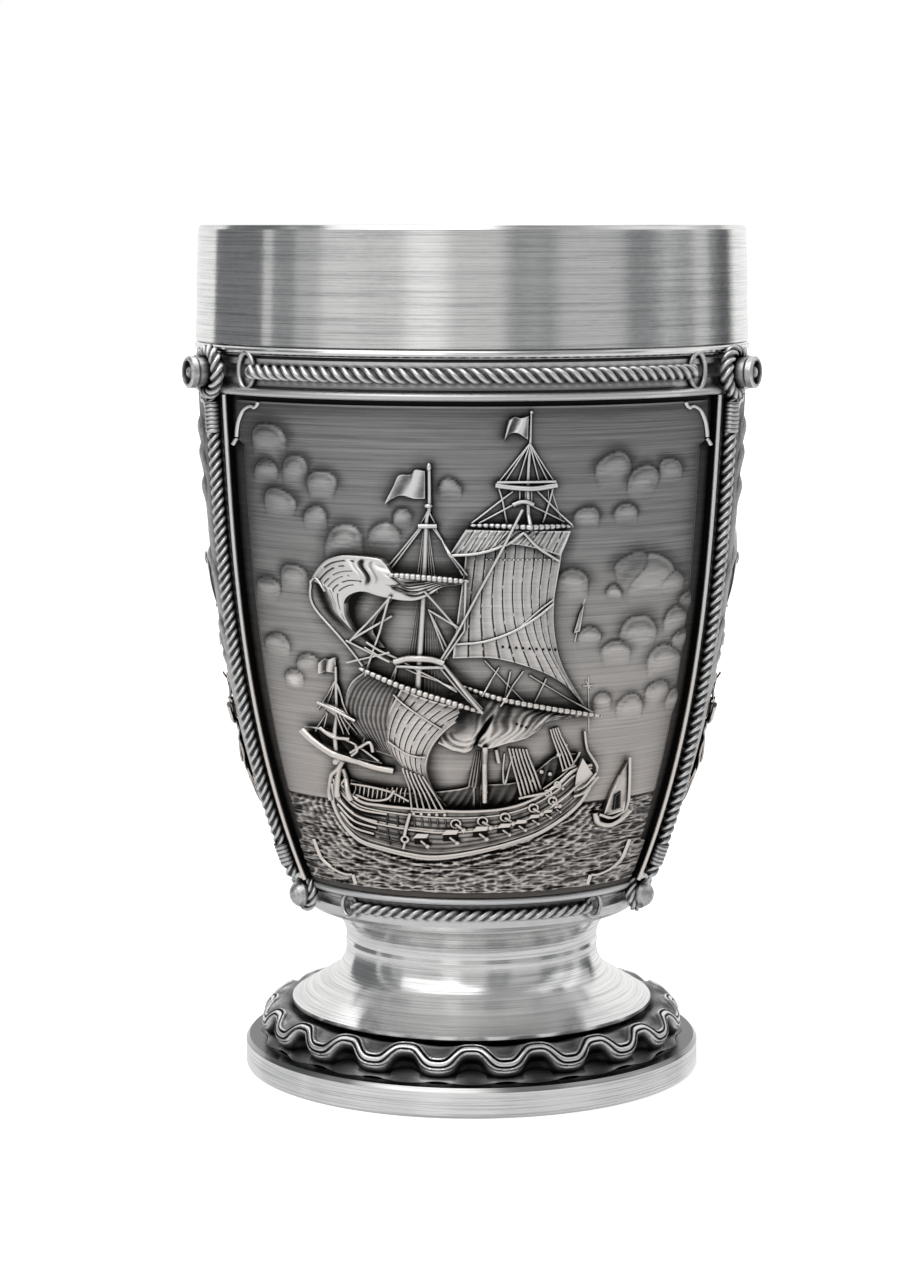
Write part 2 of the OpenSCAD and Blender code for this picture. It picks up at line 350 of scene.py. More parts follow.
def remap(tree, value, low, high, at_low=0.0, at_high=1.0, kind="LINEAR"):
    """Turns low..high into at_low..at_high and holds the value at both ends."""
    return add(tree, "MapRange", {0: value, 1: low, 2: high, 3: at_low, 4: at_high},
               interpolation_type=kind).outputs[0]


def blend(tree, share, first, second, kind="MIX"):
    """The first colour with a share of the second laid over it."""
    return add(tree, "MixRGB", {0: share, 1: first, 2: second}, blend_type=kind).outputs[0]


def object_place(tree):
    """The x, y and z of the place being shaded, in the cup's own frame."""
    place = add(tree, "TexCoord").outputs["Object"]
    return add(tree, "SeparateXYZ", {0: place}).outputs


def ramp(tree, value, stops):
    """A colour ramp; stops are (place, grey) or (place, (r, g, b))."""
    made = add(tree, "ValToRGB", {0: value})
    line = made.color_ramp.elements
    while len(line) < len(stops):
        line.new(0.5)
    for element, (place, colour) in zip(line, stops):
        element.position = place
        grey = (colour,) * 3 if isinstance(colour, (int, float)) else colour
        element.color = (*grey, 1.0)
    return made.outputs[0]


def noise(tree, scale, detail):
    """Even noise through the whole metal."""
    return add(tree, "TexNoise", {"Scale": scale, "Detail": detail, "Roughness": 0.5}).outputs[0]


def turned_noise(tree, around, along, detail, roughness):
    """Noise drawn out into fine rings round the axis, on walls and on flat faces alike."""
    x, y, z = object_place(tree)
    flat = add(tree, "CombineXYZ", {0: x, 1: y}).outputs[0]
    radius = add(tree, "VectorMath", {0: flat}, operation="LENGTH").outputs["Value"]
    spot = add(tree, "CombineXYZ", {
        0: math_node(tree, "MULTIPLY", x, around),
        1: math_node(tree, "MULTIPLY", y, around),
        2: math_node(tree, "MULTIPLY", z, along)}).outputs[0]
    reach = math_node(tree, "MULTIPLY", radius, along)
    inputs = {"Vector": spot, "W": reach, "Scale": 1.0, "Detail": detail, "Roughness": roughness}
    return add(tree, "TexNoise", inputs, noise_dimensions="4D").outputs[0]


def brushed_pewter():
    """Bright turned pewter with fine brush lines round the axis."""
    material, tree, shader = new_material("brushed_pewter")
    fine = turned_noise(tree, 90.0, 9500.0, 4.0, 0.75)
    broad = turned_noise(tree, 50.0, 2800.0, 3.0, 0.65)
    cloudy = noise(tree, 90.0, 3.0)
    lines = math_node(tree, "ADD", math_node(tree, "MULTIPLY", fine, 0.78),
                      math_node(tree, "MULTIPLY", broad, 0.22))
    colour = ramp(tree, lines, [(0.40, (0.58, 0.59, 0.59)), (0.5, (0.84, 0.84, 0.83)),
                                (0.60, (0.97, 0.97, 0.95))])
    # darker where other parts shut the metal in: patina with painted shade
    shut_in = add(tree, "AmbientOcclusion", {"Distance": 1.2 * MM}, samples=8).outputs["AO"]
    patina_and_painted_light = ramp(tree, shut_in, [(0.10, (0.45, 0.45, 0.45)), (0.4, (1.0, 1.0, 1.0))])
    colour = blend(tree, 1.0, colour, patina_and_painted_light, "MULTIPLY")
    # painted shade: the upward faces of the base's ledge round the wavy ring are painted dark
    facing = add(tree, "NewGeometry").outputs["Normal"]
    level = add(tree, "SeparateXYZ", {0: facing}).outputs[2]
    level = remap(tree, level, 0.3, 0.9)
    low = remap(tree, object_place(tree)[2], 2.3 * MM, 2.6 * MM, 1.0, 0.0)
    ledge_shade = math_node(tree, "MULTIPLY", level, low)
    colour = blend(tree, ledge_shade, colour, (0.05, 0.05, 0.052, 1))
    tree.links.new(colour, shader.inputs["Base Color"])
    tree.links.new(remap(tree, cloudy, 0.3, 0.7, 0.15, 0.20), shader.inputs["Roughness"])
    shader.inputs["Anisotropic"].default_value = 0.85
    shader.inputs["Anisotropic Rotation"].default_value = 0.25
    tangent = add(tree, "Tangent", direction_type="RADIAL", axis="Z").outputs[0]
    tree.links.new(tangent, shader.inputs["Tangent"])
    bump = add(tree, "Bump", {"Strength": 0.35, "Distance": 0.00002, "Height": lines})
    tree.links.new(bump.outputs[0], shader.inputs["Normal"])
    return material


def antique_metal(name, shades, reach, rough, grain, made=True, warm=False):
    """Cast pewter, dark where it is shut in and wiped bright where it stands free.

    The shades are those of hollows, of open faces and of high places. Made pieces carry
    their own measure of sharpness; CAD parts use the renderer's. Warm metal turns browner
    towards the foot of the plates.
    """
    material, tree, shader = new_material(name)
    shut_in = add(tree, "AmbientOcclusion", {"Distance": reach * MM}, samples=8).outputs["AO"]
    patches = turned_noise(tree, 80.0, 7000.0, 4.0, 0.75)
    specks = noise(tree, 5200.0, 2.0)
    if made:
        edge = add(tree, "Attribute", attribute_name="edge").outputs["Fac"]
    else:
        edge = add(tree, "NewGeometry").outputs["Pointiness"]
    wear_and_painted_light = math_node(tree, "ADD", shut_in, remap(tree, edge, 0.47, 0.55, -0.16, 0.22))
    soil = remap(tree, patches, 0.3, 0.7, -0.09, 0.09)
    wear_and_painted_light = math_node(tree, "ADD", wear_and_painted_light, soil)
    wear_and_painted_light = math_node(tree, "ADD", wear_and_painted_light, math_node(tree, "MULTIPLY", specks, 0.06))
    # the attribute read here darkens for patina and painted shade, and below zero lightens for polish and
    # painted highlights
    ink = add(tree, "Attribute", attribute_name="ink").outputs["Fac"]
    wear_and_painted_light = math_node(tree, "SUBTRACT", wear_and_painted_light, ink)
    tint = (1.0, 0.995, 0.985) if warm else (1.0, 1.0, 1.0)
    deep, middle, high = [tuple(shade * t for t in tint) for shade in shades]
    half_dark = tuple(0.35 * v for v in middle)
    wear_and_painted_light = remap(tree, wear_and_painted_light, 0.3, 1.5)
    colour = ramp(tree, wear_and_painted_light, [(0.12, deep), (0.42, half_dark), (0.58, middle), (0.85, high)])
    if warm:
        low = remap(tree, object_place(tree)[2], 44 * MM, 24 * MM)
        glow = ramp(tree, low, [(0.0, (1.0, 1.0, 1.0)), (1.0, (1.0, 0.93, 0.875))])
        colour = blend(tree, 1.0, colour, glow, "MULTIPLY")
    tree.links.new(colour, shader.inputs["Base Color"])
    shine = remap(tree, wear_and_painted_light, 0.2, 0.8, rough + 0.14, rough)
    tree.links.new(shine, shader.inputs["Roughness"])
    bump = add(tree, "Bump", {"Strength": grain, "Distance": 0.00003,
                              "Height": noise(tree, 9000.0, 3.0)})
    tree.links.new(bump.outputs[0], shader.inputs["Normal"])
    return material


BRUSHED = brushed_pewter()
RELIEF = antique_metal("relief_pewter", (0.015, 0.43, 0.94), 1.4, 0.33, 0.35, warm=True)
ROPE = antique_metal("rope_pewter", (0.02, 0.40, 0.92), 0.6, 0.25, 0.25)
COLLAR = antique_metal("collar_pewter", (0.22, 0.55, 0.92), 0.4, 0.27, 0.3, made=False)
FITTING = antique_metal("fitting_pewter", (0.03, 0.34, 0.88), 0.7, 0.25, 0.25, made=False)
RING = antique_metal("ring_pewter", (0.012, 0.28, 0.9), 1.1, 0.24, 0.25)

SLOTS = {s["node"]: s["material_slot"] for s in frame["record"]["subparts"]}
BY_SLOT = {"brushed_pewter": BRUSHED, "antique_pewter": COLLAR, "relief_pewter": RELIEF,
           "rope_pewter": FITTING}
for node_name, node_object in nodes.items():
    node_object.data.materials.clear()
    node_object.data.materials.append(BY_SLOT[SLOTS[node_name]])


# ---- ropes ----------------------------------------------------------------------------------
COLLAR_LAY = 2.52
POST_LAY = 2.08
# degrees from a post at which the collar ropes end, and the heights of their middles
UPPER_END = 13.0
LOWER_END = 22.0
UPPER_ROPE_Z = 53.26
LOWER_ROPE_Z = 13.97
STUD_Z = 53.05
KNOB_Z = 14.2
# radii at which the eyes round the studs and the knobs lie
STUD_EYE_R = 20.45 + 0.75
KNOB_EYE_R = 13.05 + 0.75
POST_ROPE_OUT = 0.58  # from the picture surface to the middle of a post's rope
TURN_IN = 2.2  # degrees over which a collar rope's end turns in


def collar_rope(bay, end, radius, z, thick, lay, dip):
    """A rope laid round a collar, its two ends turned in through the eyelets."""
    middle, half = BAYS[bay]
    reach = half - end
    angle = np.linspace(middle - reach, middle + reach, 7 * int(reach) + 1)
    short = np.clip((np.abs(angle - middle) - reach + TURN_IN) / TURN_IN, 0, 1)
    line = round_the_cup(angle, radius - dip * short**2, z + 0 * angle)
    heap = Heap()
    line = resample(line, 0.09)
    rope(heap, line, thick, lay, unit(line * [1, 1, 0]))
    return heap


for bay in BAYS:
    upper = collar_rope(bay, UPPER_END, 20.72, UPPER_ROPE_Z, 0.57, COLLAR_LAY, 0.6)
    piece("upper_twist_" + bay, upper, ROPE, "upper_rope_" + bay)
    lower = collar_rope(bay, LOWER_END, 13.3, LOWER_ROPE_Z, 0.47, -COLLAR_LAY, 0.5)
    piece("lower_twist_" + bay, lower, ROPE, "lower_rope_" + bay)


def eye(heap, angle, radius, z, size, thick):
    """A closed ring of rope that stands upright on a post."""
    out = outwards(angle)
    side_way = np.array([-out[1], out[0], 0])
    turn = np.linspace(0, 2 * np.pi, 160, endpoint=False)
    line = (out * radius + side_way * (size * np.cos(turn))[:, None]
            + np.array([0, 0, 1]) * (z + size * np.sin(turn))[:, None])
    rope(heap, line, thick, POST_LAY, out, closed=True)


def post_rope(side):
    """The rope on a post: shaft, whippings near both ends, and an eye round stud and knob."""
    angle = POST_ANGLES[side]
    out = outwards(angle)
    heap = Heap()
    z = np.linspace(15.7, 51.4, 60)
    line = resample(round_the_cup(angle, body_r(z) + POST_ROPE_OUT, z), 0.08)
    rope(heap, line, 0.5, POST_LAY, out)
    for z0, z1 in ((48.7, 50.9), (16.6, 18.2)):
        z = np.linspace(z0, z1, int((z1 - z0) / 0.03))
        line = round_the_cup(angle, body_r(z) + POST_ROPE_OUT, z)
        wraps = 0.52 + 0.07 * np.abs(np.sin(np.pi * (z - z0) / 0.3))
        tube(heap, line, wraps, out, 28)
    eye(heap, angle, STUD_EYE_R, STUD_Z, 1.52, 0.5)
    eye(heap, angle, KNOB_EYE_R, KNOB_Z + 0.2, 1.2, 0.38)
    return heap


for side in POST_ANGLES:
    piece("post_twist_" + side, post_rope(side), ROPE, "rope_" + side)


def eyelets(end, shift, radius, z, half_w, half_h, thick):
    """Rounded oval grommets where the collar ropes go in."""
    heap = Heap()
    turn = np.linspace(0, 2 * np.pi, 72, endpoint=False)
    for middle, half in BAYS.values():
        for hand in (-1, 1):
            angle = middle + hand * (half - end + shift)
            round_way = np.degrees(half_w * np.cos(turn) / radius)
            line = round_the_cup(angle + round_way, radius, z + half_h * np.sin(turn))
            tube(heap, line, thick, outwards(angle), 12, closed=True)
    return heap


piece("upper_grommets", eyelets(UPPER_END, 1.0, 20.55, UPPER_ROPE_Z, 0.9, 1.3, 0.2),
      ROPE, "upper_eyelets")
piece("lower_grommets", eyelets(LOWER_END, 1.5, 13.25, LOWER_ROPE_Z + 0.05, 0.7, 0.85, 0.17),
      ROPE, "lower_eyelets")


# ---- wavy foot ring -------------------------------------------------------------------------
WAVES = 20
RING_PROFILE = np.array([[12.25, 4.35], [13.3, 4.5], [14.0, 4.75], [14.6, 4.8], [15.15, 4.6],
                         [15.6, 4.15], [15.85, 3.6], [15.9, 3.0], [15.75, 2.5], [15.4, 2.22],
                         [12.25, 2.22]])


def wave_ring():
    """A cushion ring with a ribbon of three ridges that winds in and out between hollows."""
    heap = Heap()
    visible = resample(RING_PROFILE[:-1], 0.06)
    run = np.concatenate([[0], np.cumsum(np.linalg.norm(np.diff(visible, axis=0), axis=1))])
    along = unit(np.gradient(visible, axis=0))
    normal = np.stack([-along[:, 1], along[:, 0]], -1)
    normal = np.where((normal @ [1.0, 1.0])[:, None] < 0, -normal, normal)
    angle = np.linspace(0, 360, WAVES * 48, endpoint=False)
    phase = np.radians(angle) * WAVES
    centre = 3.62 - 0.66 * (np.cos(phase) - 0.09 * np.cos(3 * phase))
    slope = np.gradient(centre, np.radians(angle) * 15.6)
    away = (run[None] - centre[:, None]) / np.sqrt(1 + 0.85 * slope[:, None]**2)
    crest = 0.5 + 0.5 * np.cos(phase)[:, None]
    ribbon = smooth_step(-np.abs(away), -0.52, -0.34)
    gap = np.exp(-((away + 0.20) / 0.06)**2) + 0.7 * np.exp(-((away - 0.24) / 0.06)**2)
    outer = np.clip(away - 0.36, 0, None)
    inner = np.clip(-away - 0.36, 0, None)
    fold = 1 - np.exp(-(outer / 0.40)**2)
    scoop = 1 - np.exp(-(inner / 0.45)**2)
    lobe = (1 - crest) * np.exp(-((outer - 0.30) / 0.30)**2) * (outer > 0)
    height = 0.16 * ribbon - 0.17 * gap + 0.10 * lobe
    height = height - fold * (0.10 + 0.72 * crest**1.4) - scoop * (0.28 - 0.1 * crest)
    ends = np.clip(run / 0.5, 0, 1) * np.clip((run[-1] - run) / 0.2, 0, 1)
    height = height * ends[None]
    side = np.sin(phase)[:, None]
    middle = np.exp(-((away - 0.02) / 0.14)**2)
    flank = side**2
    # painted light: the ribbon is painted darker on the flanks of each wave, each hollow darker on one
    # side of it and lighter above each crest; the dark gaps, the hollows under the crests and the ends are
    # patina, and the raised ribbon and lobes are lighter
    ink = 0.7 * gap - (0.1 + 0.25 * middle - 0.2 * flank) * ribbon * (1 - gap)
    ink = ink + scoop * (0.12 - 0.10 * side) - 0.12 * np.exp(-((inner - 0.75) / 0.3)**2) * crest
    ink = ink + fold * (0.60 * crest**1.5 - 0.12) - 0.50 * lobe
    ink = ink + 0.5 * np.exp(-((run[-1] - run) / 0.2)**2)[None] + 0.6 * np.exp(-(run / 0.9)**2)[None]
    radius = visible[None, :, 0] + normal[None, :, 0] * height
    z = np.maximum(visible[None, :, 1] + normal[None, :, 1] * height, 2.22)
    radius = np.concatenate([radius, np.full((len(angle), 1), RING_PROFILE[-1, 0])], 1)
    z = np.concatenate([z, np.full((len(angle), 1), RING_PROFILE[-1, 1])], 1)
    ink = np.concatenate([ink, ink[:, -1:]], 1)
    points = round_the_cup(angle[:, None], radius, z)
    heap.add(points, grid_faces(*radius.shape, True, True), ink=ink.ravel())
    return heap


piece("wavy_ribbon", wave_ring(), RING, "wave_ring")


# ---- picture plates -------------------------------------------------------------------------
# A picture is drawn on the flat as (x, z, h): x to the right, z up, h out of the plate.
# laid_round() then puts x across the front of the body, so that it reads undistorted from
# there. Its measures are the cup's millimetres. In the drawing functions p is the Picture.
BORDER = 7.0  # degrees between a post and the sky or the sea
GROUND_HALF = FRONT_HALF - POST_HALF - BORDER
POLISH = 0.22  # patina and painted light taken off for each millimetre that a relief stands out
RECESS = 0.35  # how far the border lies under the picture surface
PLATE_BACK = 1.3  # how far the back of the plate lies under it
CORNER_REACH = 2.4  # degrees by which the sky and the sea reach into the border's corners
GROUND_Z0 = PLATE_Z0 + 0.5
GROUND_Z1 = PLATE_Z1 - 0.3
HORIZON = 22.5


def value_noise(x, z, seed):
    """Smooth noise from -1 to 1 with one random value in each unit square."""
    table = np.random.RandomState(seed).uniform(-1, 1, (128, 128))
    i, j = np.floor(x).astype(int), np.floor(z).astype(int)
    u, v = x - i, z - j
    u, v = u * u * (3 - 2 * u), v * v * (3 - 2 * v)
    a, b = table[i % 128, j % 128], table[(i + 1) % 128, j % 128]
    c, d = table[i % 128, (j + 1) % 128], table[(i + 1) % 128, (j + 1) % 128]
    return (a * (1 - u) + b * u) * (1 - v) + (c * (1 - u) + d * u) * v


def blurred(line, width):
    """Running mean of a line of values, its ends repeated."""
    width = max(1, int(width)) | 1
    padded = np.concatenate([np.full(width // 2, line[0]), line, np.full(width // 2, line[-1])])
    return np.convolve(padded, np.ones(width) / width, "valid")


def laid_round(points, bay, mirrored):
    """Flat points (x, -h, z) laid round the body in one bay."""
    x, y, z = np.moveaxis(points, -1, 0)
    middle, half = BAYS[bay]
    ratio = (half - POST_HALF - BORDER) / GROUND_HALF
    angle = np.degrees(np.arcsin(np.clip(x / body_r(z), -0.97, 0.97))) * ratio
    return round_the_cup(middle + (-angle if mirrored else angle), body_r(z) - y, z)


def lay_heap(heap, bay, mirrored, relief=1.0):
    """Lays a heap drawn on the flat round the body, with its heights times relief."""
    heap.points = [laid_round(flat * [1, relief, 1], bay, mirrored) for flat in heap.points]
    if mirrored:
        heap.flip()
    return heap


class Picture:
    """Relief parts of one picture, and a map of how high they stand so far."""
    CELL = 0.06
    LOW = (-17.5, 14.0)
    CELLS = (590, 640)

    def __init__(self):
        self.heap = Heap()
        self.map = np.zeros(self.CELLS)

    def cell(self, x, z):
        """The numbers of the map's cell at (x, z)."""
        return tuple(np.clip(((np.asarray(value) - low) / self.CELL).astype(int), 0, count - 1)
                     for value, low, count in zip((x, z), self.LOW, self.CELLS))

    def height(self, x, z):
        """The greatest height in the cell at (x, z) and in the cells round it."""
        i, j = self.cell(x, z)
        last = np.array(self.map.shape) - 1
        return np.max([self.map[np.clip(i + a, 0, last[0]), np.clip(j + b, 0, last[1])]
                       for a in (-1, 0, 1) for b in (-1, 0, 1)], axis=0)

    def mark(self, x, z, h):
        """Raises the map to h at (x, z)."""
        np.maximum.at(self.map, self.cell(x, z), h)

    def sheet(self, grid, patina_and_painted_light, foot=-0.15):
        """A closed solid with the grid of (x, z, h) on top, upright walls and an underside at foot."""
        n, m = grid.shape[:2]
        top = grid[..., [0, 2, 1]] * [1, -1, 1]
        rim = rim_of(n, m)
        below = n * m + np.arange(len(rim))
        walls = np.stack([rim, below, np.roll(below, -1), np.roll(rim, -1)], -1)
        # the underside follows the body too: it has every column of the top, but few of its rows
        rows = np.unique(np.append(np.arange(0, n, 12), n - 1))
        inner = np.ix_(rows[1:-1], np.arange(1, m - 1))
        inside = n * m + len(rim) + np.arange(len(rows[1:-1]) * (m - 2))
        under = np.zeros((n, m), int)
        under.flat[rim] = below
        under[inner] = inside.reshape(-1, m - 2)
        low = np.vstack([top.reshape(-1, 3)[rim], top[inner].reshape(-1, 3)])
        low[:, 1] = -foot
        kept = under[rows][:, 1:-1]
        quads = np.stack([kept[:-1, :-1], kept[1:, :-1], kept[1:, 1:], kept[:-1, 1:]], -1)
        faces = [grid_faces(n, m), walls, quads.reshape(-1, 4)]
        for a, b in zip(rows[:-1], rows[1:]):
            left_end = [under[a, 0], under[a, 1], under[b, 1], *under[b:a:-1, 0]]
            right_end = [under[a, -2], *under[a:b + 1, -1], under[b, -2]]
            faces += [np.array([left_end[::-1]]), np.array([right_end[::-1]])]
        # the darkening given here carries patina and painted shade, and below zero polish and painted
        # highlights; raised parts are polished lighter
        patina_and_painted_light = np.broadcast_to(patina_and_painted_light, (n, m)) - POLISH * np.clip(grid[..., 2], 0, 1.2)
        ink = np.concatenate([patina_and_painted_light.ravel(), patina_and_painted_light.ravel()[rim], patina_and_painted_light[inner].ravel()])
        x, z = low[:len(rim), 0], low[:len(rim), 2]
        outwards_facing = np.sum(x * np.roll(z, -1) - np.roll(x, -1) * z) > 0
        turn = 1 if outwards_facing else -1
        points = np.vstack([top.reshape(-1, 3), low])
        self.heap.add(points, *(f[:, ::turn] for f in faces), ink=ink)
        fine = grid
        for axis in (0, 1):
            middle = 0.5 * (np.take(fine, range(fine.shape[axis] - 1), axis)
                            + np.take(fine, range(1, fine.shape[axis]), axis))
            fine = np.concatenate([fine, middle], axis)
        self.mark(fine[..., 0], fine[..., 1], fine[..., 2])

    def coons(self, top, bottom, left=None, right=None, step=0.09):
        """A grid of (x, z, h) between four edges; top and bottom run left to right.

        With it come the share of the way across and down at each point, the width and the height.
        """
        left = left or [top[0], bottom[0]]
        right = right or [top[-1], bottom[-1]]
        fine = 0.05
        top, bottom, left, right = [resample(edge, fine) for edge in (top, bottom, left, right)]

        def spread(line, places):
            """The line's points at the given shares of its length."""
            share = np.linspace(0, 1, len(line))
            return np.stack([np.interp(places, share, line[:, k]) for k in range(3)], -1)

        wide = max(len(top), len(bottom)) * fine
        across = np.linspace(0, 1, max(4, int(wide / step)))
        top, bottom = spread(top, across), spread(bottom, across)
        tall = max(len(left) * fine, len(right) * fine,
                   np.linalg.norm(top - bottom, axis=1).max())
        down = np.linspace(0, 1, max(4, int(tall / step)))
        left, right = spread(left, down), spread(right, down)
        u, v = [share[..., None] for share in np.meshgrid(across, down)]
        grid = (1 - v) * top[None] + v * bottom[None] + (1 - u) * left[:, None] + u * right[:, None]
        grid -= ((1 - u) * (1 - v) * top[0] + u * (1 - v) * top[-1]
                 + (1 - u) * v * bottom[0] + u * v * bottom[-1])
        return grid, u[..., 0], v[..., 0], wide, tall

    def sail(self, top, bottom, left=None, right=None, *, belly, cloths, folds=None,
             patina_and_painted_light=0.0, hem=0.06):
        """A sail blown out by belly, sewn from upright cloths, with a raised hem."""
        grid, u, v, wide, tall = self.coons(top, bottom, left, right, 0.075)
        grid[..., 2] += belly * (np.sin(np.pi * u) * np.sin(np.pi * np.clip(v, 0, 1))) ** 0.6
        if folds:
            count, deep, slant = folds
            wave = deep * np.sin(2 * np.pi * (count * u + slant * v))
            grid[..., 2] += wave * np.sin(np.pi * v) ** 0.4
        ink = np.zeros(u.shape) + patina_and_painted_light
        if cloths:
            seam = np.abs((u * cloths + 0.5) % 1 - 0.5) * wide / cloths
            seam = np.exp(-(seam / 0.055) ** 2) * (np.minimum(u, 1 - u) * cloths > 0.5)
            dashes = np.sin(2 * np.pi * v * tall / 3.6 + 2 * np.floor(u * cloths))
            dashes = smooth_step(dashes, -0.99, -0.9)
            grid[..., 2] -= 0.05 * seam * dashes
            ink = ink + 0.6 * seam * dashes + 0.05 * np.sin(2 * np.pi * u * cloths)
        edge = np.minimum(np.minimum(u, 1 - u) * wide, np.minimum(v, 1 - v) * tall)
        raised = np.exp(-(edge / 0.14) ** 2)
        grid[..., 2] += hem * raised
        self.sheet(grid, ink - 0.25 * raised)

    def path(self, points, lift, reach):
        """(x, z) points resampled, each at the greatest height met within reach, plus lift."""
        line = resample(np.asarray(points, float), 0.12)
        under = self.height(line[:, 0], line[:, 1])
        spread = max(1, int(reach / 0.12))
        padded = np.pad(under, spread, mode="edge")
        under = np.max([padded[k:k + len(under)] for k in range(2 * spread + 1)], axis=0)
        return np.column_stack([line, blurred(under, 2 * spread + 1) + lift])

    def bar(self, points, radius, lift, reach=0.5, sides=8, patina_and_painted_light=-0.15, mark=False):
        """A round bar or cord laid over what is there; radius is one number or one per end."""
        line = self.path(points, lift, reach)
        before = self.heap.count
        tube(self.heap, line[:, [0, 2, 1]] * [1, -1, 1], radius, sides=sides)
        self.heap.paint(before, patina_and_painted_light)
        if mark:
            self.mark(line[:, 0], line[:, 1], line[:, 2])

    def bars(self, pairs, radius, lift, reach=0.5):
        """Straight bars, each between two (x, z) places."""
        for pair in pairs:
            self.bar(pair, radius, lift, reach)

    def yard(self, points, radius, lift=0.1, bead=0.42):
        """A yard with its sail lashed along it, which shows as a row of beads."""
        line = self.path(points, lift + radius, 1.2)
        line = resample(line, 0.06)
        run = np.arange(len(line)) * 0.06
        deep = 0.25
        swell = radius * (1 - deep + deep * np.abs(np.sin(np.pi * run / bead)) ** 0.6)
        swell = swell * np.clip(1.1 - 1.2 * np.abs(run / run[-1] - 0.5) ** 3 * 4, 0.4, 1)
        before = self.heap.count
        tube(self.heap, line[:, [0, 2, 1]] * [1, -1, 1], swell, sides=12)
        grooves = 0.35 - 0.6 * np.abs(np.sin(np.pi * run / bead))
        ink = np.repeat(grooves, 12)
        self.heap.paint(before, np.pad(ink, (0, self.heap.count - before - len(ink))))
        self.mark(line[:, 0], line[:, 1], line[:, 2] + 0.3 * radius)

    def fan(self, foot_a, foot_b, top_a, top_b, count, radius, lift=0.02, patina_and_painted_light=-0.15):
        """Shrouds from a row of feet to a row of tops."""
        for t in np.linspace(0, 1, count):
            foot = np.array(foot_a) * (1 - t) + np.array(foot_b) * t
            top = np.array(top_a) * (1 - t) + np.array(top_b) * t
            self.bar([foot, top], radius, lift, 0.6, 6, patina_and_painted_light)

    def ring(self, x, z, size, thick, lift):
        """A ring that lies flat on what is there."""
        turn = np.linspace(0, 2 * np.pi, 20, endpoint=False)
        h = self.height(x, z) + lift
        line = np.stack([x + size * np.cos(turn), np.full(20, -h), z + size * np.sin(turn)], -1)
        before = self.heap.count
        tube(self.heap, line, thick, sides=8, closed=True)
        self.heap.paint(before, -0.2)

    def ball(self, x, z, radius, lift, stretch=1.0, ink=-0.2):
        """A ball, or with stretch an upright egg or a disc."""
        turn = np.linspace(0, 2 * np.pi, 16, endpoint=False)
        turn, up = np.meshgrid(turn, np.linspace(-1.45, 1.45, 9), indexing="ij")
        h = self.height(x, z) + lift
        points = np.stack([x + radius * np.cos(turn) * np.cos(up),
                           -h - radius * np.sin(turn) * np.cos(up),
                           z + stretch * radius * np.sin(up)], -1)
        self.heap.add(points, grid_faces(16, 9, True), (np.arange(16) * 9)[None],
                      (np.arange(16) * 9 + 8)[None, ::-1], ink=ink)

    def block(self, corners, low, high, patina_and_painted_light):
        """A small plate with the given (x, z) outline, between two heights above what is there."""
        corners = np.asarray(corners, float)
        h = self.height(*corners.mean(0))
        n = len(corners)
        ring = np.concatenate([
            np.column_stack([corners[:, 0], np.full(n, -(h + level)), corners[:, 1]])
            for level in (low, high)])
        k = np.arange(n)
        walls = np.stack([k, np.roll(k, -1), np.roll(k, -1) + n, k + n], -1)
        self.heap.add(ring, walls, k[None, ::-1], k[None] + n, ink=patina_and_painted_light)

    def gun_port(self, x, z, size):
        """A raised lid, a black plate under it painted as the shaded hole, and a short barrel that points
        out to the right.
        """
        s = size
        # painted shade: a flat black plate stands for the hole in shade under the lid
        self.block([(x - .55 * s, z - .35 * s), (x + .45 * s, z - .3 * s), (x + .45 * s, z + .3 * s),
                    (x - .55 * s, z + .25 * s)], -0.1, 0.03, patina_and_painted_light=1.5)
        self.block([(x - .6 * s, z + .22 * s), (x + .35 * s, z + .28 * s), (x + .5 * s, z + .6 * s),
                    (x - .3 * s, z + .6 * s)], 0.0, 0.22 * s + 0.08, patina_and_painted_light=-0.6)
        self.barrel(x - .1 * s, z - .05 * s, .6 * s, .13 * s)

    def barrel(self, x, z, length, radius):
        """A gun's barrel with a thicker muzzle, pointing out, down and to the right."""
        h = self.height(x, z)
        line = np.array([[x, -h, z], [x + .7 * length, -h - .25 * length, z - .55 * length],
                         [x + .72 * length, -h - .26 * length, z - .57 * length],
                         [x + length, -h - .35 * length, z - .8 * length]])
        before = self.heap.count
        tube(self.heap, line, [radius * .8, radius * .8, radius * 1.25, radius * 1.25], sides=12)
        self.heap.paint(before, -0.35)

    def flag(self, top, bottom):
        """A small flag between its upper and lower edges, rippled."""
        edges = [[(x, z, 0.25) for x, z in edge] for edge in (top, bottom)]
        grid, u, v = self.coons(*edges, step=0.07)[:3]
        wave = np.sin(2 * np.pi * (1.6 * u + 0.3 * v))
        grid[..., 2] += 0.12 * wave + 0.08
        self.sheet(grid, -0.1 - 0.2 * wave)


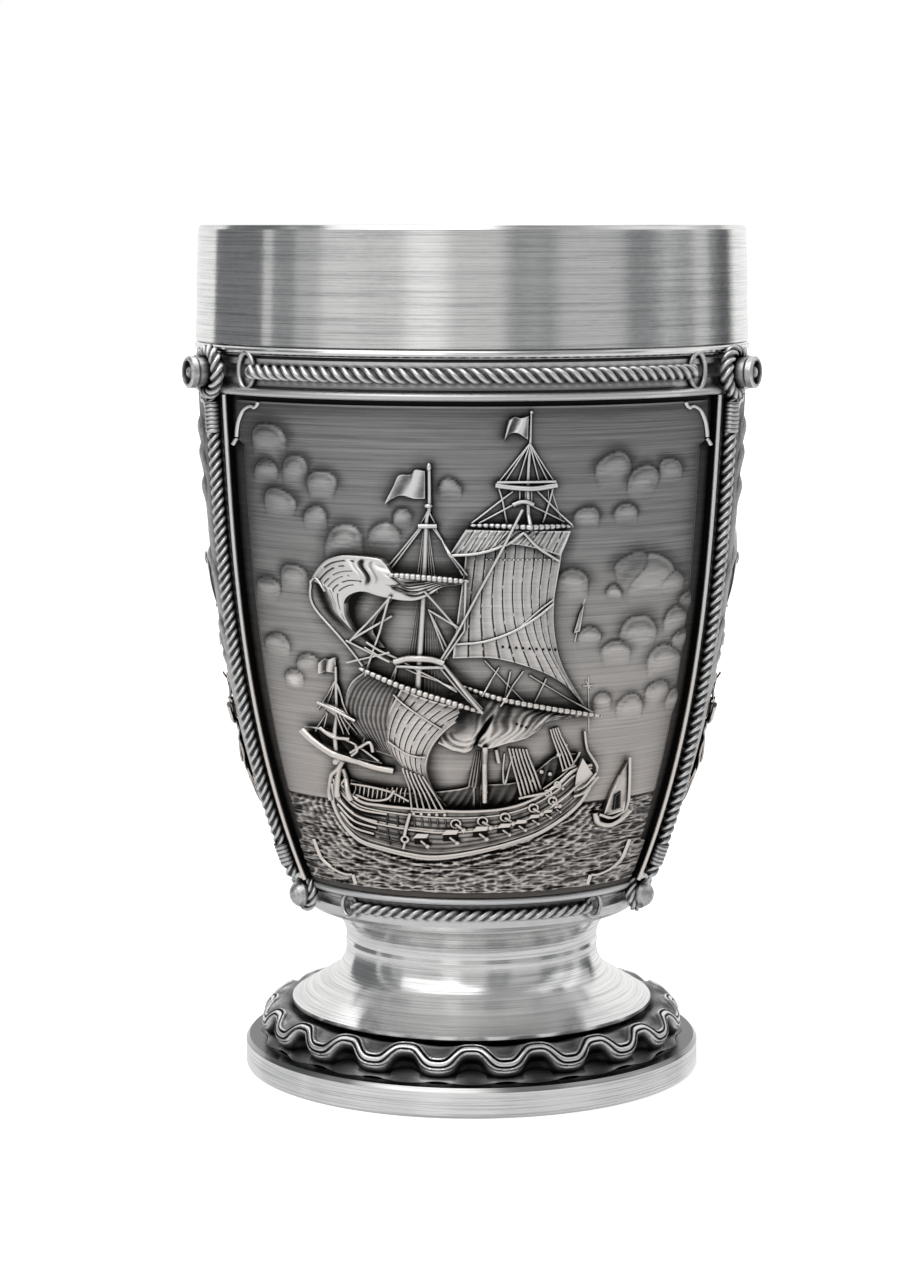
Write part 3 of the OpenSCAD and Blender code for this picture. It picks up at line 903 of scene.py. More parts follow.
# puffs of cloud as (x, z, radius), and the line along the ship's bottom
CLOUDS = [(10, 46.7, 1.3), (12, 45.7, 1.1), (14, 46.3, 1.0), (8.1, 43.3, .9), (10.8, 43.5, .8),
          (11.6, 39.4, 1.5), (7, 38.6, 1.3), (14, 38.2, 1.1), (12.7, 38.8, 1.8), (10, 37.8, .6),
          (15.7, 36.5, 1.0), (8.2, 34.8, .8), (11.7, 34.8, 1.4), (14.7, 35.4, 1.0), (10.2, 33.6, 1.0),
          (13.8, 32.5, 1.3), (15.3, 33.9, .8), (13.4, 30.1, 1.0), (14.9, 29.2, 1.0), (9.2, 29.9, .8),
          (11.3, 29.3, 1.0), (-14.3, 48.3, 1.4), (-14.7, 46.2, .9), (-12.4, 46.4, 1.1),
          (-10.5, 45.4, 1.1), (-13.5, 44, 1.1), (-11, 43.1, .9), (-8.9, 41.3, 1.5), (-6, 42.1, 1.1),
          (-4.7, 43.4, .7), (-1.6, 45.4, .8), (-14.6, 37.9, .9), (-12.6, 38.7, 1.1),
          (-13.8, 33.6, .9), (-11.6, 32.5, .9), (-12.7, 31.5, .7)]
KEEL = [(-9.7, 24.0), (-9.8, 22.7), (-9.5, 21.6), (-8.9, 20.4), (-7.9, 19.5), (-6.2, 19.0),
        (-3.2, 18.5), (-0.8, 18.8), (2.4, 19.6), (5.1, 20.6), (7.5, 22.4), (8.3, 23.9)]


def ground_height(x, z):
    """How far the sky, the clouds and the sea stand out at each place, and how dark they are."""
    height = np.zeros(x.shape)
    dark = np.zeros(x.shape)
    sky_x = x + 0.22 * value_noise(x / 1.6, z / 1.6, 11)
    sky_z = z + 0.22 * value_noise(x / 1.6, z / 1.6, 12)
    for cx, cz, r in CLOUDS:
        dx, dz = (sky_x - cx) / r, (sky_z - cz) / r
        reach = np.sqrt(dx**2 + np.where(dz < 0, 0.55 * dz, dz)**2)
        dome = np.clip(1 - reach**2, 0, 1)**0.8 * 0.26 * r**0.7
        dome = dome * smooth_step(dz, -1.3, 0.5)
        # painted light on each puff: a painted shadow outside its upper rim, painted shade over its upper
        # part, and painted highlights on its belly and along a line just inside its rim
        rim = np.exp(-(np.clip(reach - 1.0, 0, None) / 0.40)**2) * smooth_step(dz, -0.5, 0.5)
        brow = smooth_step(reach, 0.35, 0.8) * smooth_step(dz, -0.1, 0.6)
        line = np.exp(-((reach - 0.90) / 0.10)**2) * smooth_step(dz, -0.2, 0.4)
        belly = np.exp(-(dx**2 + (dz + 0.3)**2) / 0.28)
        over = dome > height + 0.004
        dark = np.where(over, 0.16 * brow - 0.34 * belly - 0.24 * line, np.maximum(dark, 0.15 * rim))
        height = np.maximum(height, dome)
    dark = dark + 0.17 * smooth_step(z, 24.0, 50.0) - 0.06
    sea = smooth_step(z, HORIZON + 0.04, HORIZON - 0.04)
    bow = np.min([np.hypot(x - kx, (z - kz) * 1.2) for kx, kz in resample(KEEL, 0.3)], axis=0)
    wobble = value_noise(x / 1.3, z / 0.5, 3)
    ripple = 1 - np.abs(value_noise(x / 0.8 + 0.4 * wobble, z / 0.22 + 0.5 * wobble, 5)) * 2
    chop = 1 - np.abs(value_noise(x / 0.38, z / 0.13 + 0.5 * wobble, 7)) * 2
    near = np.exp(-bow / 1.6)
    wake = np.cos(2 * np.pi * bow / 0.55 + 2.4 * wobble)
    water = 0.075 * ripple + 0.035 * chop + 0.10 * wake * near
    height = height * (1 - sea) + sea * (water - 0.05)
    dark = dark * (1 - sea) + sea * np.clip(0.12 - 2.0 * water, -0.4, 0.35)
    line = np.exp(-((z - HORIZON) / 0.10)**2)
    return height - 0.06 * line, dark + 0.3 * line


def ground(bay, mirrored):
    """The picture's sky and sea as one closed plate that reaches out into the four corners."""
    rows = np.concatenate([np.arange(GROUND_Z0, HORIZON + 0.1, 0.075),
                           np.arange(HORIZON + 0.15, GROUND_Z1, 0.15)])
    corner = smooth_step(rows, 48.0, 48.3) + smooth_step(rows, 19.0, 18.7)
    half = GROUND_HALF + CORNER_REACH * corner
    share = np.linspace(-1, 1, 285)
    z, angle = np.meshgrid(rows, share, indexing="ij")
    angle = np.radians(angle * half[:, None])
    x = body_r(z) * np.sin(angle)
    height, dark = ground_height(x, z)
    edge = (1 - np.abs(share)[None]) * half[:, None] * 0.33
    height = height - 0.12 * np.exp(-(edge / 0.25)**2)
    dark = dark + 0.28 * np.exp(-edge / 0.8) + 0.16 * np.exp(-(GROUND_Z1 - z) / 0.8)
    picture = Picture()
    picture.sheet(np.stack([x, z, height], -1), dark, foot=-0.6)
    return lay_heap(picture.heap, bay, mirrored)


def curved_slab(heap, low, high, wide, front, back, ink):
    """A slab between two angles that follows the body, between two heights off its surface."""
    z = np.linspace(PLATE_Z0, PLATE_Z1, 60)
    angle = np.linspace(low, high, wide)
    sides = [round_the_cup(angle[None], (body_r(z) + out)[:, None], z[:, None]).reshape(-1, 3)
             for out in (front, back)]
    count = len(sides[0])
    quads = grid_faces(len(z), wide)
    rim = rim_of(len(z), wide)
    after = np.roll(rim, -1)
    walls = np.stack([rim, rim + count, after + count, after], -1)
    heap.add(np.vstack(sides), quads, quads[:, ::-1] + count, walls, ink=ink)


def plate(bay):
    """The plate behind the picture: its sunk border and the bright ridge along each upright edge."""
    middle, half = BAYS[bay]
    half = half - POST_HALF
    heap = Heap()
    curved_slab(heap, middle - half, middle + half, 40, -RECESS, -PLATE_BACK, 0.42)
    for hand in (-1, 1):
        shelf = sorted([middle + hand * half, middle + hand * (half - 1.5)])
        curved_slab(heap, *shelf, 3, 0.0, -RECESS - 0.1, 0.6)
        z = np.linspace(PLATE_Z0 + 0.05, PLATE_Z1 - 0.05, 80)
        line = round_the_cup(middle + hand * (half - 1.05), body_r(z) + 0.10, z)
        before = heap.count
        tube(heap, line, 0.19, outwards(middle + hand * half), 12)
        heap.paint(before, -0.55)
    return heap


def corner_brackets(p):
    """Thin raised lines with cusps that cut off the picture's four corners."""
    upper = [[(15.1, 51.1), (15.2, 50.8), (15.45, 50.65)],
             [(15.45, 50.7), (15.75, 50.75), (16.25, 50.4), (16.6, 49.7), (16.75, 49.0), (16.8, 48.5)],
             [(16.7, 48.4), (16.9, 48.2), (17.1, 47.9)]]
    lower = [[(11.5, 19.1), (11.3, 18.5)],
             [(11.3, 18.5), (10.9, 17.6), (10.1, 17.0), (9.2, 16.7), (8.6, 16.75)],
             [(8.6, 16.75), (8.4, 16.0)]]
    for hand in (-1, 1):
        for stroke in upper + lower:
            p.bar([(hand * x, z) for x, z in stroke], 0.12, 0.03, 0.1, patina_and_painted_light=-0.6)


def fore_mast(p):
    """Right-hand mast: topsail, clewed-up course, tops, yards, stays and flag."""
    p.sail([(-0.3, 42.5, .35), (3, 42.4, .4), (6.3, 42.3, .35)],
           [(-1.3, 33.6, .3), (1.5, 33.6, .35), (4.2, 32.8, .4), (6.3, 31.6, .4), (8.0, 29.6, .35)],
           [(-0.3, 42.5, .35), (-0.5, 40, .3), (-0.9, 37, .3), (-1.3, 33.6, .3)],
           [(6.3, 42.3, .35), (6.0, 40.2, .35), (5.6, 37.5, .35), (5.7, 35, .35), (6.3, 32.7, .35),
            (8.0, 29.6, .35)], belly=0.42, cloths=10)
    p.sail([(-0.4, 42.7, .75), (3, 42.6, .8), (6.6, 42.5, .7)],
           [(-1.5, 40.9, .75), (0.5, 41.1, .95), (2.3, 41.7, .9), (4.2, 41.4, .95), (5.9, 40.8, .75)],
           belly=0.12, cloths=13, folds=(13, 0.05, 0.3))
    p.bar([(-1.5, 40.9), (0.5, 41.1), (2.3, 41.7), (3.4, 42.5)], 0.1, 0.02)
    p.bar([(3.4, 42.5), (4.4, 41.4), (5.9, 40.4)], 0.1, 0.02)
    for x in np.arange(1.0, 5.6, 0.3):
        p.ball(x, 40.65 - 0.02 * x, 0.09, 0.0)
    p.bar([(-1.1, 34.6), (0.8, 34.8), (2.7, 35.5), (4.2, 36.4), (5.5, 37.4)], 0.10, 0.0)
    p.bar([(3.2, 35.8), (4.4, 36.9), (5.5, 37.7)], 0.06, 0.0)
    for x in np.arange(2.1, 5.9, 0.45):
        p.block([(x - .07, 34.55 - .09 * x), (x + .07, 34.55 - .09 * x), (x + .07, 34.7 - .09 * x),
                 (x - .07, 34.7 - .09 * x)], -0.05, 0.015, 1.0)
    p.fan((5.3, 44.5), (6.3, 42.9), (5.3, 45.6), (5.4, 45.6), 2, 0.05)
    p.bar([(3.9, 42.6), (3.85, 46), (4.0, 48.7), (4.05, 50.7)], [0.16, 0.07], 0.1, mark=True)
    p.ball(4.05, 50.75, 0.12, 0.12)
    p.yard([(-0.1, 42.95), (6.9, 42.8)], 0.2)
    for foot in ((1.9, 46.0), (2.3, 46.0), (3.2, 46.0), (4.6, 46.0), (5.2, 46.0), (5.6, 46.0)):
        p.bar([foot, (3.95, 48.6)], 0.055, 0.1)
    p.bar([(1.6, 45.75), (3.0, 45.55), (4.4, 45.5), (5.8, 45.7)], 0.2, 0.25)
    p.bar([(1.7, 45.95), (5.7, 45.95)], 0.09, 0.35)
    for x in (3.3, 3.7, 4.1):
        p.bar([(x, 45.5), (x, 44.6)], 0.07, 0.05)
    p.bar([(2.8, 44.35), (3.3, 44.55), (3.8, 44.55), (4.2, 44.35)], 0.17, 0.15)
    p.bars([((2.8, 45.3), (0, 43.1)), ((4.4, 45.4), (6.8, 42.9)), ((2.9, 44.4), (0.5, 43.1)),
            ((4.1, 44.3), (6.4, 43.1)), ((1.8, 45.7), (2.1, 44.7)), ((5.6, 45.6), (5.3, 44.4)),
            ((2.1, 44.7), (2.4, 43.1)), ((5.3, 44.4), (4.9, 43.1))],
           0.07, 0.12)
    p.bar([(3.3, 44.1), (1.4, 40.2), (0.1, 37.6), (-1.0, 35.4), (-2.2, 33.3)], 0.09, 0.2, 1.5)
    p.flag([(2.5, 50.2), (2.9, 50.45), (3.3, 50.35), (3.85, 50.5)],
           [(2.2, 48.9), (2.6, 49.3), (3.1, 49.35), (3.8, 48.9)])
    # clewed-up course and its yard
    grid, u, v, _, tall = p.coons(
        [(-1.4, 31.4, .3), (3, 30.3, .45), (8.6, 29.2, .3)],
        [(-2.3, 27.4, .3), (-1.2, 26.9, .4), (-0.3, 26.8, .45), (0.34, 27.3, .35), (1.0, 27.05, .45),
         (2.4, 27.45, .5), (3.6, 27.75, .45), (4.5, 28.3, .4), (5.4, 29.0, .4), (8.6, 29.1, .3)],
        step=0.07)
    belly = np.sin(np.pi * np.clip(v * 0.95 + 0.02, 0, 1)) ** 0.8
    grid[..., 2] += 0.55 * np.sin(np.pi * u) ** 0.5 * belly
    fan = 15 * u + 2.4 * v + 0.9 * value_noise(u * 5, v * 3, 31)
    folds = np.sin(2 * np.pi * fan)
    strands = value_noise(fan * 3, v * 2.5, 33)
    pleats = 0.045 * folds + 0.03 * strands
    grid[..., 2] += pleats * np.sin(np.pi * v) ** 0.5 * smooth_step(u, 0.02, 0.12)
    middle_fold = np.exp(-((u - 0.235 - 0.10 * (1 - v)) / 0.012) ** 2) * smooth_step(v, 0.2, 0.5)
    grid[..., 2] -= 0.35 * middle_fold
    coil = np.hypot((grid[..., 0] + 0.5) * 0.8, grid[..., 1] - 28.3)
    curl = smooth_step(-coil, -1.7, -1.3) * smooth_step(coil, 0.45, 0.8)
    curl = curl * smooth_step(28.2 - grid[..., 1], -0.3, 0.4)
    turns = np.sin(2 * np.pi * coil / 0.42)
    grid[..., 2] += 0.045 * curl * turns
    # painted shade: the course is painted darker in its upper part and at its left end, and lighter
    # towards its foot
    ink = 0.34 - 0.5 * smooth_step(v, 0.35, 0.9) - 0.08 * folds * (1 - curl) + 0.9 * middle_fold
    ink = ink + 0.30 * strands - 0.1 * curl * turns + 0.25 * smooth_step(-u, -0.2, 0.0)
    hem = np.exp(-((1 - v) * tall / 0.16) ** 2)
    grid[..., 2] += 0.09 * hem
    p.sheet(grid, ink - 0.3 * hem)
    for x, z in ((3.0, 28.9), (3.3, 28.75), (3.6, 28.65)):
        p.block([(x - .07, z - .06), (x + .07, z - .06), (x + .07, z + .06), (x - .07, z + .06)],
                -0.05, 0.02, 1.2)
    p.yard([(-1.1, 31.7), (2.3, 30.6), (8.7, 29.15)], 0.2)
    p.bars([((0.9, 33.4), (3.6, 30.4)), ((1.9, 32.9), (0.7, 30.9)), ((2.7, 32.6), (2.3, 30.7)),
            ((4.0, 32.3), (8.3, 29.4)), ((3.6, 32.6), (1.9, 30.2)), ((5.2, 32.0), (4.4, 30.3))],
           0.06, 0.1)


def main_mast(p):
    """Middle mast: blown topsail that curls over to the left, course, top, yards and stays."""
    p.fan((-4.9, 30.4), (-2.0, 31.0), (-3.7, 38), (-2.7, 38), 12, 0.05, 0.0, 0.05)
    p.fan((-3.9, 38.2), (-2.4, 38.2), (-3.25, 43.0), (-3.05, 43.0), 7, 0.05, 0.05)
    p.bar([(-3.8, 30), (-3.3, 38), (-3.1, 43), (-2.9, 44.2), (-2.9, 47.2)], [0.24, 0.11], 0.25, mark=True)
    p.ball(-2.9, 47.0, 0.16, 0.1, 1.8)
    p.ball(-2.95, 44.3, 0.3, 0.05, 0.6)
    for x in (-3.5, -2.5):
        p.bar([(x, 43.0), (-2.95, 44.0)], 0.05, 0.1)
    p.bar([(-3.6, 42.9), (-2.4, 42.9)], 0.17, 0.2)
    p.bars([((-3.4, 42.8), (-5.5, 39.9)), ((-3.6, 42.7), (-5.9, 39.8)), ((-2.7, 42.8), (-0.3, 39.5)),
            ((-2.5, 42.7), (-0.6, 39.5))],
           0.07, 0.15)
    p.flag([(-5.2, 45.9), (-4.9, 46.4), (-4.2, 46.45), (-3.8, 46.8), (-3.2, 46.7)],
           [(-5.9, 44.4), (-5.2, 44.9), (-4.6, 45.0), (-3.9, 44.8), (-3.2, 44.8)])
    # shaded inside of the blown sail, then its bright outside and its turned left edge
    grid, u, v = p.coons(
        [(-8.9, 37.9, .15), (-7.6, 38.2, .15), (-5.4, 37.7, .15)],
        [(-7.4, 34.6, .1), (-6.8, 34.3, .1), (-6.0, 34.2, .1)],
        [(-8.9, 37.9, .15), (-8.9, 36.4, .15), (-8.5, 35.6, .15), (-7.4, 34.6, .1)],
        [(-5.4, 37.7, .15), (-6.4, 36.6, .15), (-6.8, 35.4, .15), (-6.0, 34.2, .1)])[:3]
    grid[..., 2] += 0.18 * u
    p.sheet(grid, 0.55 - 0.55 * smooth_step(u, 0.1, 0.75) + 0.1 * np.sin(9 * u + 3 * v))
    outer = [(-0.3, 39.1, .55), (-1.9, 39.3, .6), (-4.0, 39.4, .65), (-5.2, 39.5, .7), (-5.8, 40.3, .75),
             (-6.4, 40.6, .75), (-8.2, 40.7, .65), (-9.1, 40.6, .6), (-10.0, 40.2, .5), (-10.7, 39.4, .45),
             (-10.9, 38.8, .5), (-10.4, 38.8, .6), (-10.0, 38.4, .65), (-9.5, 37.5, .65), (-9.2, 36.6, .6),
             (-8.3, 35.7, .55), (-7.1, 34.6, .45)]
    inner = [(-0.3, 38.9, .5), (-1.9, 38.7, .65), (-2.7, 38.2, .75), (-3.5, 37.8, .8), (-4.4, 37.7, .85),
             (-5.3, 37.8, .85), (-6.3, 38.0, .85), (-7.0, 38.2, .8), (-7.6, 38.2, .85), (-8.2, 37.9, .9),
             (-8.5, 37.4, .9), (-8.5, 36.6, .85), (-8.3, 36.0, .8), (-7.9, 35.3, .7), (-7.4, 34.9, .6),
             (-7.0, 34.5, .45)]
    grid, u, v, wide, _ = p.coons(outer, inner, step=0.06)
    belly = np.sin(np.pi * np.clip(u * 1.02, 0, 1)) ** 0.5
    grid[..., 2] += 0.30 * np.sin(np.pi * v) ** 0.7 * belly
    ink = -0.2 - 0.12 * np.sin(np.pi * v) * smooth_step(u, 0.42, 0.6)
    # stitched seams along the blown part, and the fold between it and the part under the yard
    bend = 0.41 + 0.13 * v
    for at, start, stop in ((.14, .47, .60), (.26, .52, .72), (.40, .49, .66), (.52, .54, .80),
                            (.66, .51, .70), (.80, .58, .84)):
        seam = np.exp(-((v - at - 0.05 * np.sin(7 * u)) * 2.4 / 0.05) ** 2) * (u > start) * (u < stop)
        stitch = smooth_step(np.sin(2 * np.pi * u * wide / 2.1 + 23 * at), -0.95, -0.75)
        ink = ink + 0.65 * seam * stitch
        grid[..., 2] -= 0.05 * seam * stitch
    ink = ink + 0.10 * np.sin(2 * np.pi * (2.3 * v - 0.4 * u)) * smooth_step(u, 0.45, 0.6)
    for shift, deep, wide_line in ((0.0, 0.22, 0.012), (-0.04, 0.08, 0.008), (0.03, 0.05, 0.008)):
        groove = np.exp(-((u - bend - shift - 0.015 * np.sin(9 * v)) / wide_line) ** 2)
        stop = 1 - smooth_step(v, 0.55 + 2 * shift, 0.85 + 2 * shift)
        groove = groove * smooth_step(v, 0.02, 0.15) * stop
        grid[..., 2] -= deep * groove
        ink = ink + 2.6 * deep * groove
    crumple = value_noise(u * wide / 1.1, v * 7 + 2 * u, 21)
    crumple = crumple * smooth_step(u, 0.12, 0.2) * smooth_step(-u, -0.43, -0.36)
    grid[..., 2] += 0.10 * crumple * np.sin(np.pi * v)
    ink = ink - 0.25 * crumple
    for at, stop in ((0.22, 0.30), (0.36, 0.38), (0.50, 0.34), (0.64, 0.42), (0.78, 0.36)):
        crease = np.exp(-((v - at - 0.1 * np.sin(8 * u)) / 0.045) ** 2) * smooth_step(u, 0.02, 0.06)
        crease = crease * smooth_step(stop - u, 0.0, 0.06)
        grid[..., 2] -= 0.07 * crease
        ink = ink + 0.55 * crease
    edge = np.exp(-(np.minimum(v, 1 - v) * 2.3 / 0.12) ** 2)
    grid[..., 2] += 0.07 * edge
    p.sheet(grid, ink - 0.3 * edge)
    left = [(-10.9, 38.8, .45), (-11.1, 38.0, .4), (-11.0, 37.2, .4), (-10.5, 36.4, .4), (-9.2, 35.0, .4),
            (-8.2, 33.8, .35), (-7.5, 32.8, .3)]
    right = [(-10.5, 38.8, .5), (-10.0, 38.4, .5), (-9.6, 37.5, .5), (-9.3, 36.6, .5), (-8.3, 35.6, .45),
             (-7.1, 34.6, .4), (-6.2, 34.0, .35)]
    grid, u, v = p.coons([left[0], right[0]], [left[-1], right[-1]], left, right, step=0.06)[:3]
    grid[..., 2] -= 0.2 * np.sin(np.pi * u) * smooth_step(-v, -1.0, -0.5)
    shade = 0.55 * np.exp(-((u - 0.5 - 0.2 * v) / 0.22) ** 2) * smooth_step(-v, -0.75, -0.3)
    p.sheet(grid, shade + 0.02)
    p.bar([point[:2] for point in left], 0.08, 0.06, 0.1, patina_and_painted_light=-0.6)
    p.bar([(-10.9, 38.7), (-10.6, 39.0), (-10.1, 38.6), (-9.8, 38.1)], 0.07, 0.06, 0.1, patina_and_painted_light=-0.6)
    p.bar([(-7.1, 34.6), (-6.2, 34.0), (-4.9, 33.3), (-3.0, 32.3), (-1.0, 31.2)],
          0.08, 0.12, 0.6, patina_and_painted_light=-0.5)
    p.yard([(-5.4, 39.55), (-3, 39.35), (-0.2, 39.1)], 0.22, 0.05, 0.35)
    p.bar([(-3.1, 39.0), (-5.2, 38.7), (-4.6, 38.3), (-3.6, 38.3)], 0.05, 0.02, patina_and_painted_light=0.3)
    # round top under the sail, its cap and stays
    p.bar([(-5.3, 33.2), (-4.3, 33.5), (-2.9, 33.5), (-1.9, 33.2)], 0.24, 0.35)
    p.bar([(-5.2, 32.9), (-1.9, 32.9)], 0.14, 0.3)
    p.bars([((-1.9, 33.1), (0.7, 30.0)), ((-2.2, 32.9), (0.2, 30.1)), ((-5.2, 33.0), (-5.5, 31.5)),
            ((-0.4, 39.1), (-0.5, 35.6)), ((-0.9, 35.6), (-3.1, 38.4)), ((-0.7, 35.7), (-3.0, 37.0)),
            ((-1.7, 33.5), (-2.9, 36.8)), ((-0.5, 35.6), (-2.2, 33.0)), ((-3.0, 37.0), (-1.5, 33.9)),
            ((-8.2, 34.6), (-5.3, 38.0)), ((-8.0, 34.8), (-5.5, 36.5)), ((-5.4, 38), (-8.9, 27.4)),
            ((-5.6, 33.2), (-8.6, 34.6)), ((-5.2, 32.9), (-8.2, 25.9)), ((-8.6, 33.0), (-5.6, 33.9))],
           0.085, 0.1, 1.2)
    # course: shaded left part, bright right part with a curved right-hand edge, and the yard
    p.sail([(-7.3, 32.5, .3), (-5.8, 31.9, .35), (-4.4, 31.3, .35)],
           [(-6.6, 26.6, .25), (-5.6, 26.3, .3), (-4.6, 26.0, .3)],
           [(-7.3, 32.5, .3), (-8.4, 31.4, .3), (-8.8, 29.6, .3), (-7.9, 28.1, .3), (-6.6, 26.6, .25)],
           belly=0.35, cloths=0, folds=(13, 0.035, 1.8), patina_and_painted_light=0.27)
    p.sail([(-4.8, 31.3, .5), (-2.5, 30.5, .6), (0.4, 29.8, .45)],
           [(-3.9, 24.8, .35), (-3.0, 23.9, .4), (-1.7, 22.7, .35)],
           [(-4.8, 31.3, .5), (-5.7, 29.4, .5), (-5.9, 27.5, .45), (-5.2, 26.0, .4), (-3.9, 24.8, .35)],
           [(0.4, 29.8, .45), (-1.3, 28.8, .5), (-2.6, 27.3, .5), (-3.1, 25.7, .5), (-2.8, 24.2, .45),
            (-1.7, 22.7, .35)], belly=0.45, cloths=8, hem=0.1)
    p.bar([(-5.6, 27.5), (-4.2, 26.6), (-3.1, 26.4)], 0.07, 0.0)
    p.bar([(-5.3, 30.9), (-4.5, 30.2), (-2.0, 28.5)], 0.07, 0.0)
    p.yard([(-7.6, 32.7), (-4.4, 31.4), (-0.8, 30.3), (0.7, 29.8)], 0.22)
    p.bar([(-7.3, 34.2), (-4.9, 32.9), (-0.8, 31.3)], 0.07, 0.15)
    p.bar([(-1.9, 33.1), (0.7, 29.8)], 0.11, 0.35, 1.5)


def mizzen_mast(p):
    """Left-hand mast with its small sail and the lateen boom."""
    p.sail([(-11.5, 27.6, .25), (-10.3, 28.0, .25), (-8.6, 27.8, .25)],
           [(-10.6, 26.9, .25), (-8.0, 26.0, .3), (-6.2, 25.7, .25)],
           belly=0.1, cloths=0, folds=(5, 0.04, 0.5), patina_and_painted_light=0.45)
    p.bar([(-9.1, 23.0), (-9.4, 28), (-9.5, 32.6)], [0.2, 0.09], 0.2, mark=True)
    for x in (-10.9, -10.4, -8.8, -8.4):
        p.bar([(x, 29.3 if x < -9 else 28.9), (-9.5, 31.6)], 0.055, 0.05)
    p.flag([(-10.7, 32.6), (-10.3, 33.1), (-9.9, 33.1), (-9.5, 33.3)],
           [(-10.6, 32.0), (-10.2, 32.2), (-9.8, 32.2), (-9.5, 32.1)])
    p.sail([(-10.4, 29.9, .3), (-9.3, 29.6, .35), (-8.1, 29.0, .3)],
           [(-10.0, 29.3, .3), (-9.2, 28.9, .35), (-8.0, 28.7, .3)], belly=0.2, cloths=0, patina_and_painted_light=-0.1)
    p.bar([(-10.6, 29.9), (-9.4, 29.5), (-7.9, 28.8)], 0.11, 0.15)
    p.bar([(-10.5, 28.0), (-9.5, 27.5), (-8.4, 27.4)], 0.14, 0.15)
    for x in (-10.9, -10.4, -8.9, -8.5, -8.1):
        p.bar([(x, 27.7), (x * 0.5 - 4.8, 29.2)], 0.05, 0.05)
    p.bar([(-11.7, 27.7), (-10.9, 27.0), (-9.6, 26.3), (-8.2, 25.8), (-6.8, 25.4), (-5.4, 25.2)],
          0.25, 0.3, 0.8, 10)
    p.bar([(-11.8, 27.9), (-10.4, 27.9), (-8.2, 27.1), (-6.4, 25.9)], 0.08, 0.1)
    p.bar([(-8.3, 26.4), (-7.6, 26.9), (-6.9, 27.3), (-6.7, 26.6)], 0.12, 0.25)
    p.bar([(-8.2, 26.2), (-7.8, 26.6), (-7.9, 27.0)], 0.1, 0.3)
    p.bar([(-9.1, 25.0), (-8.2, 22.8)], 0.2, 0.2)


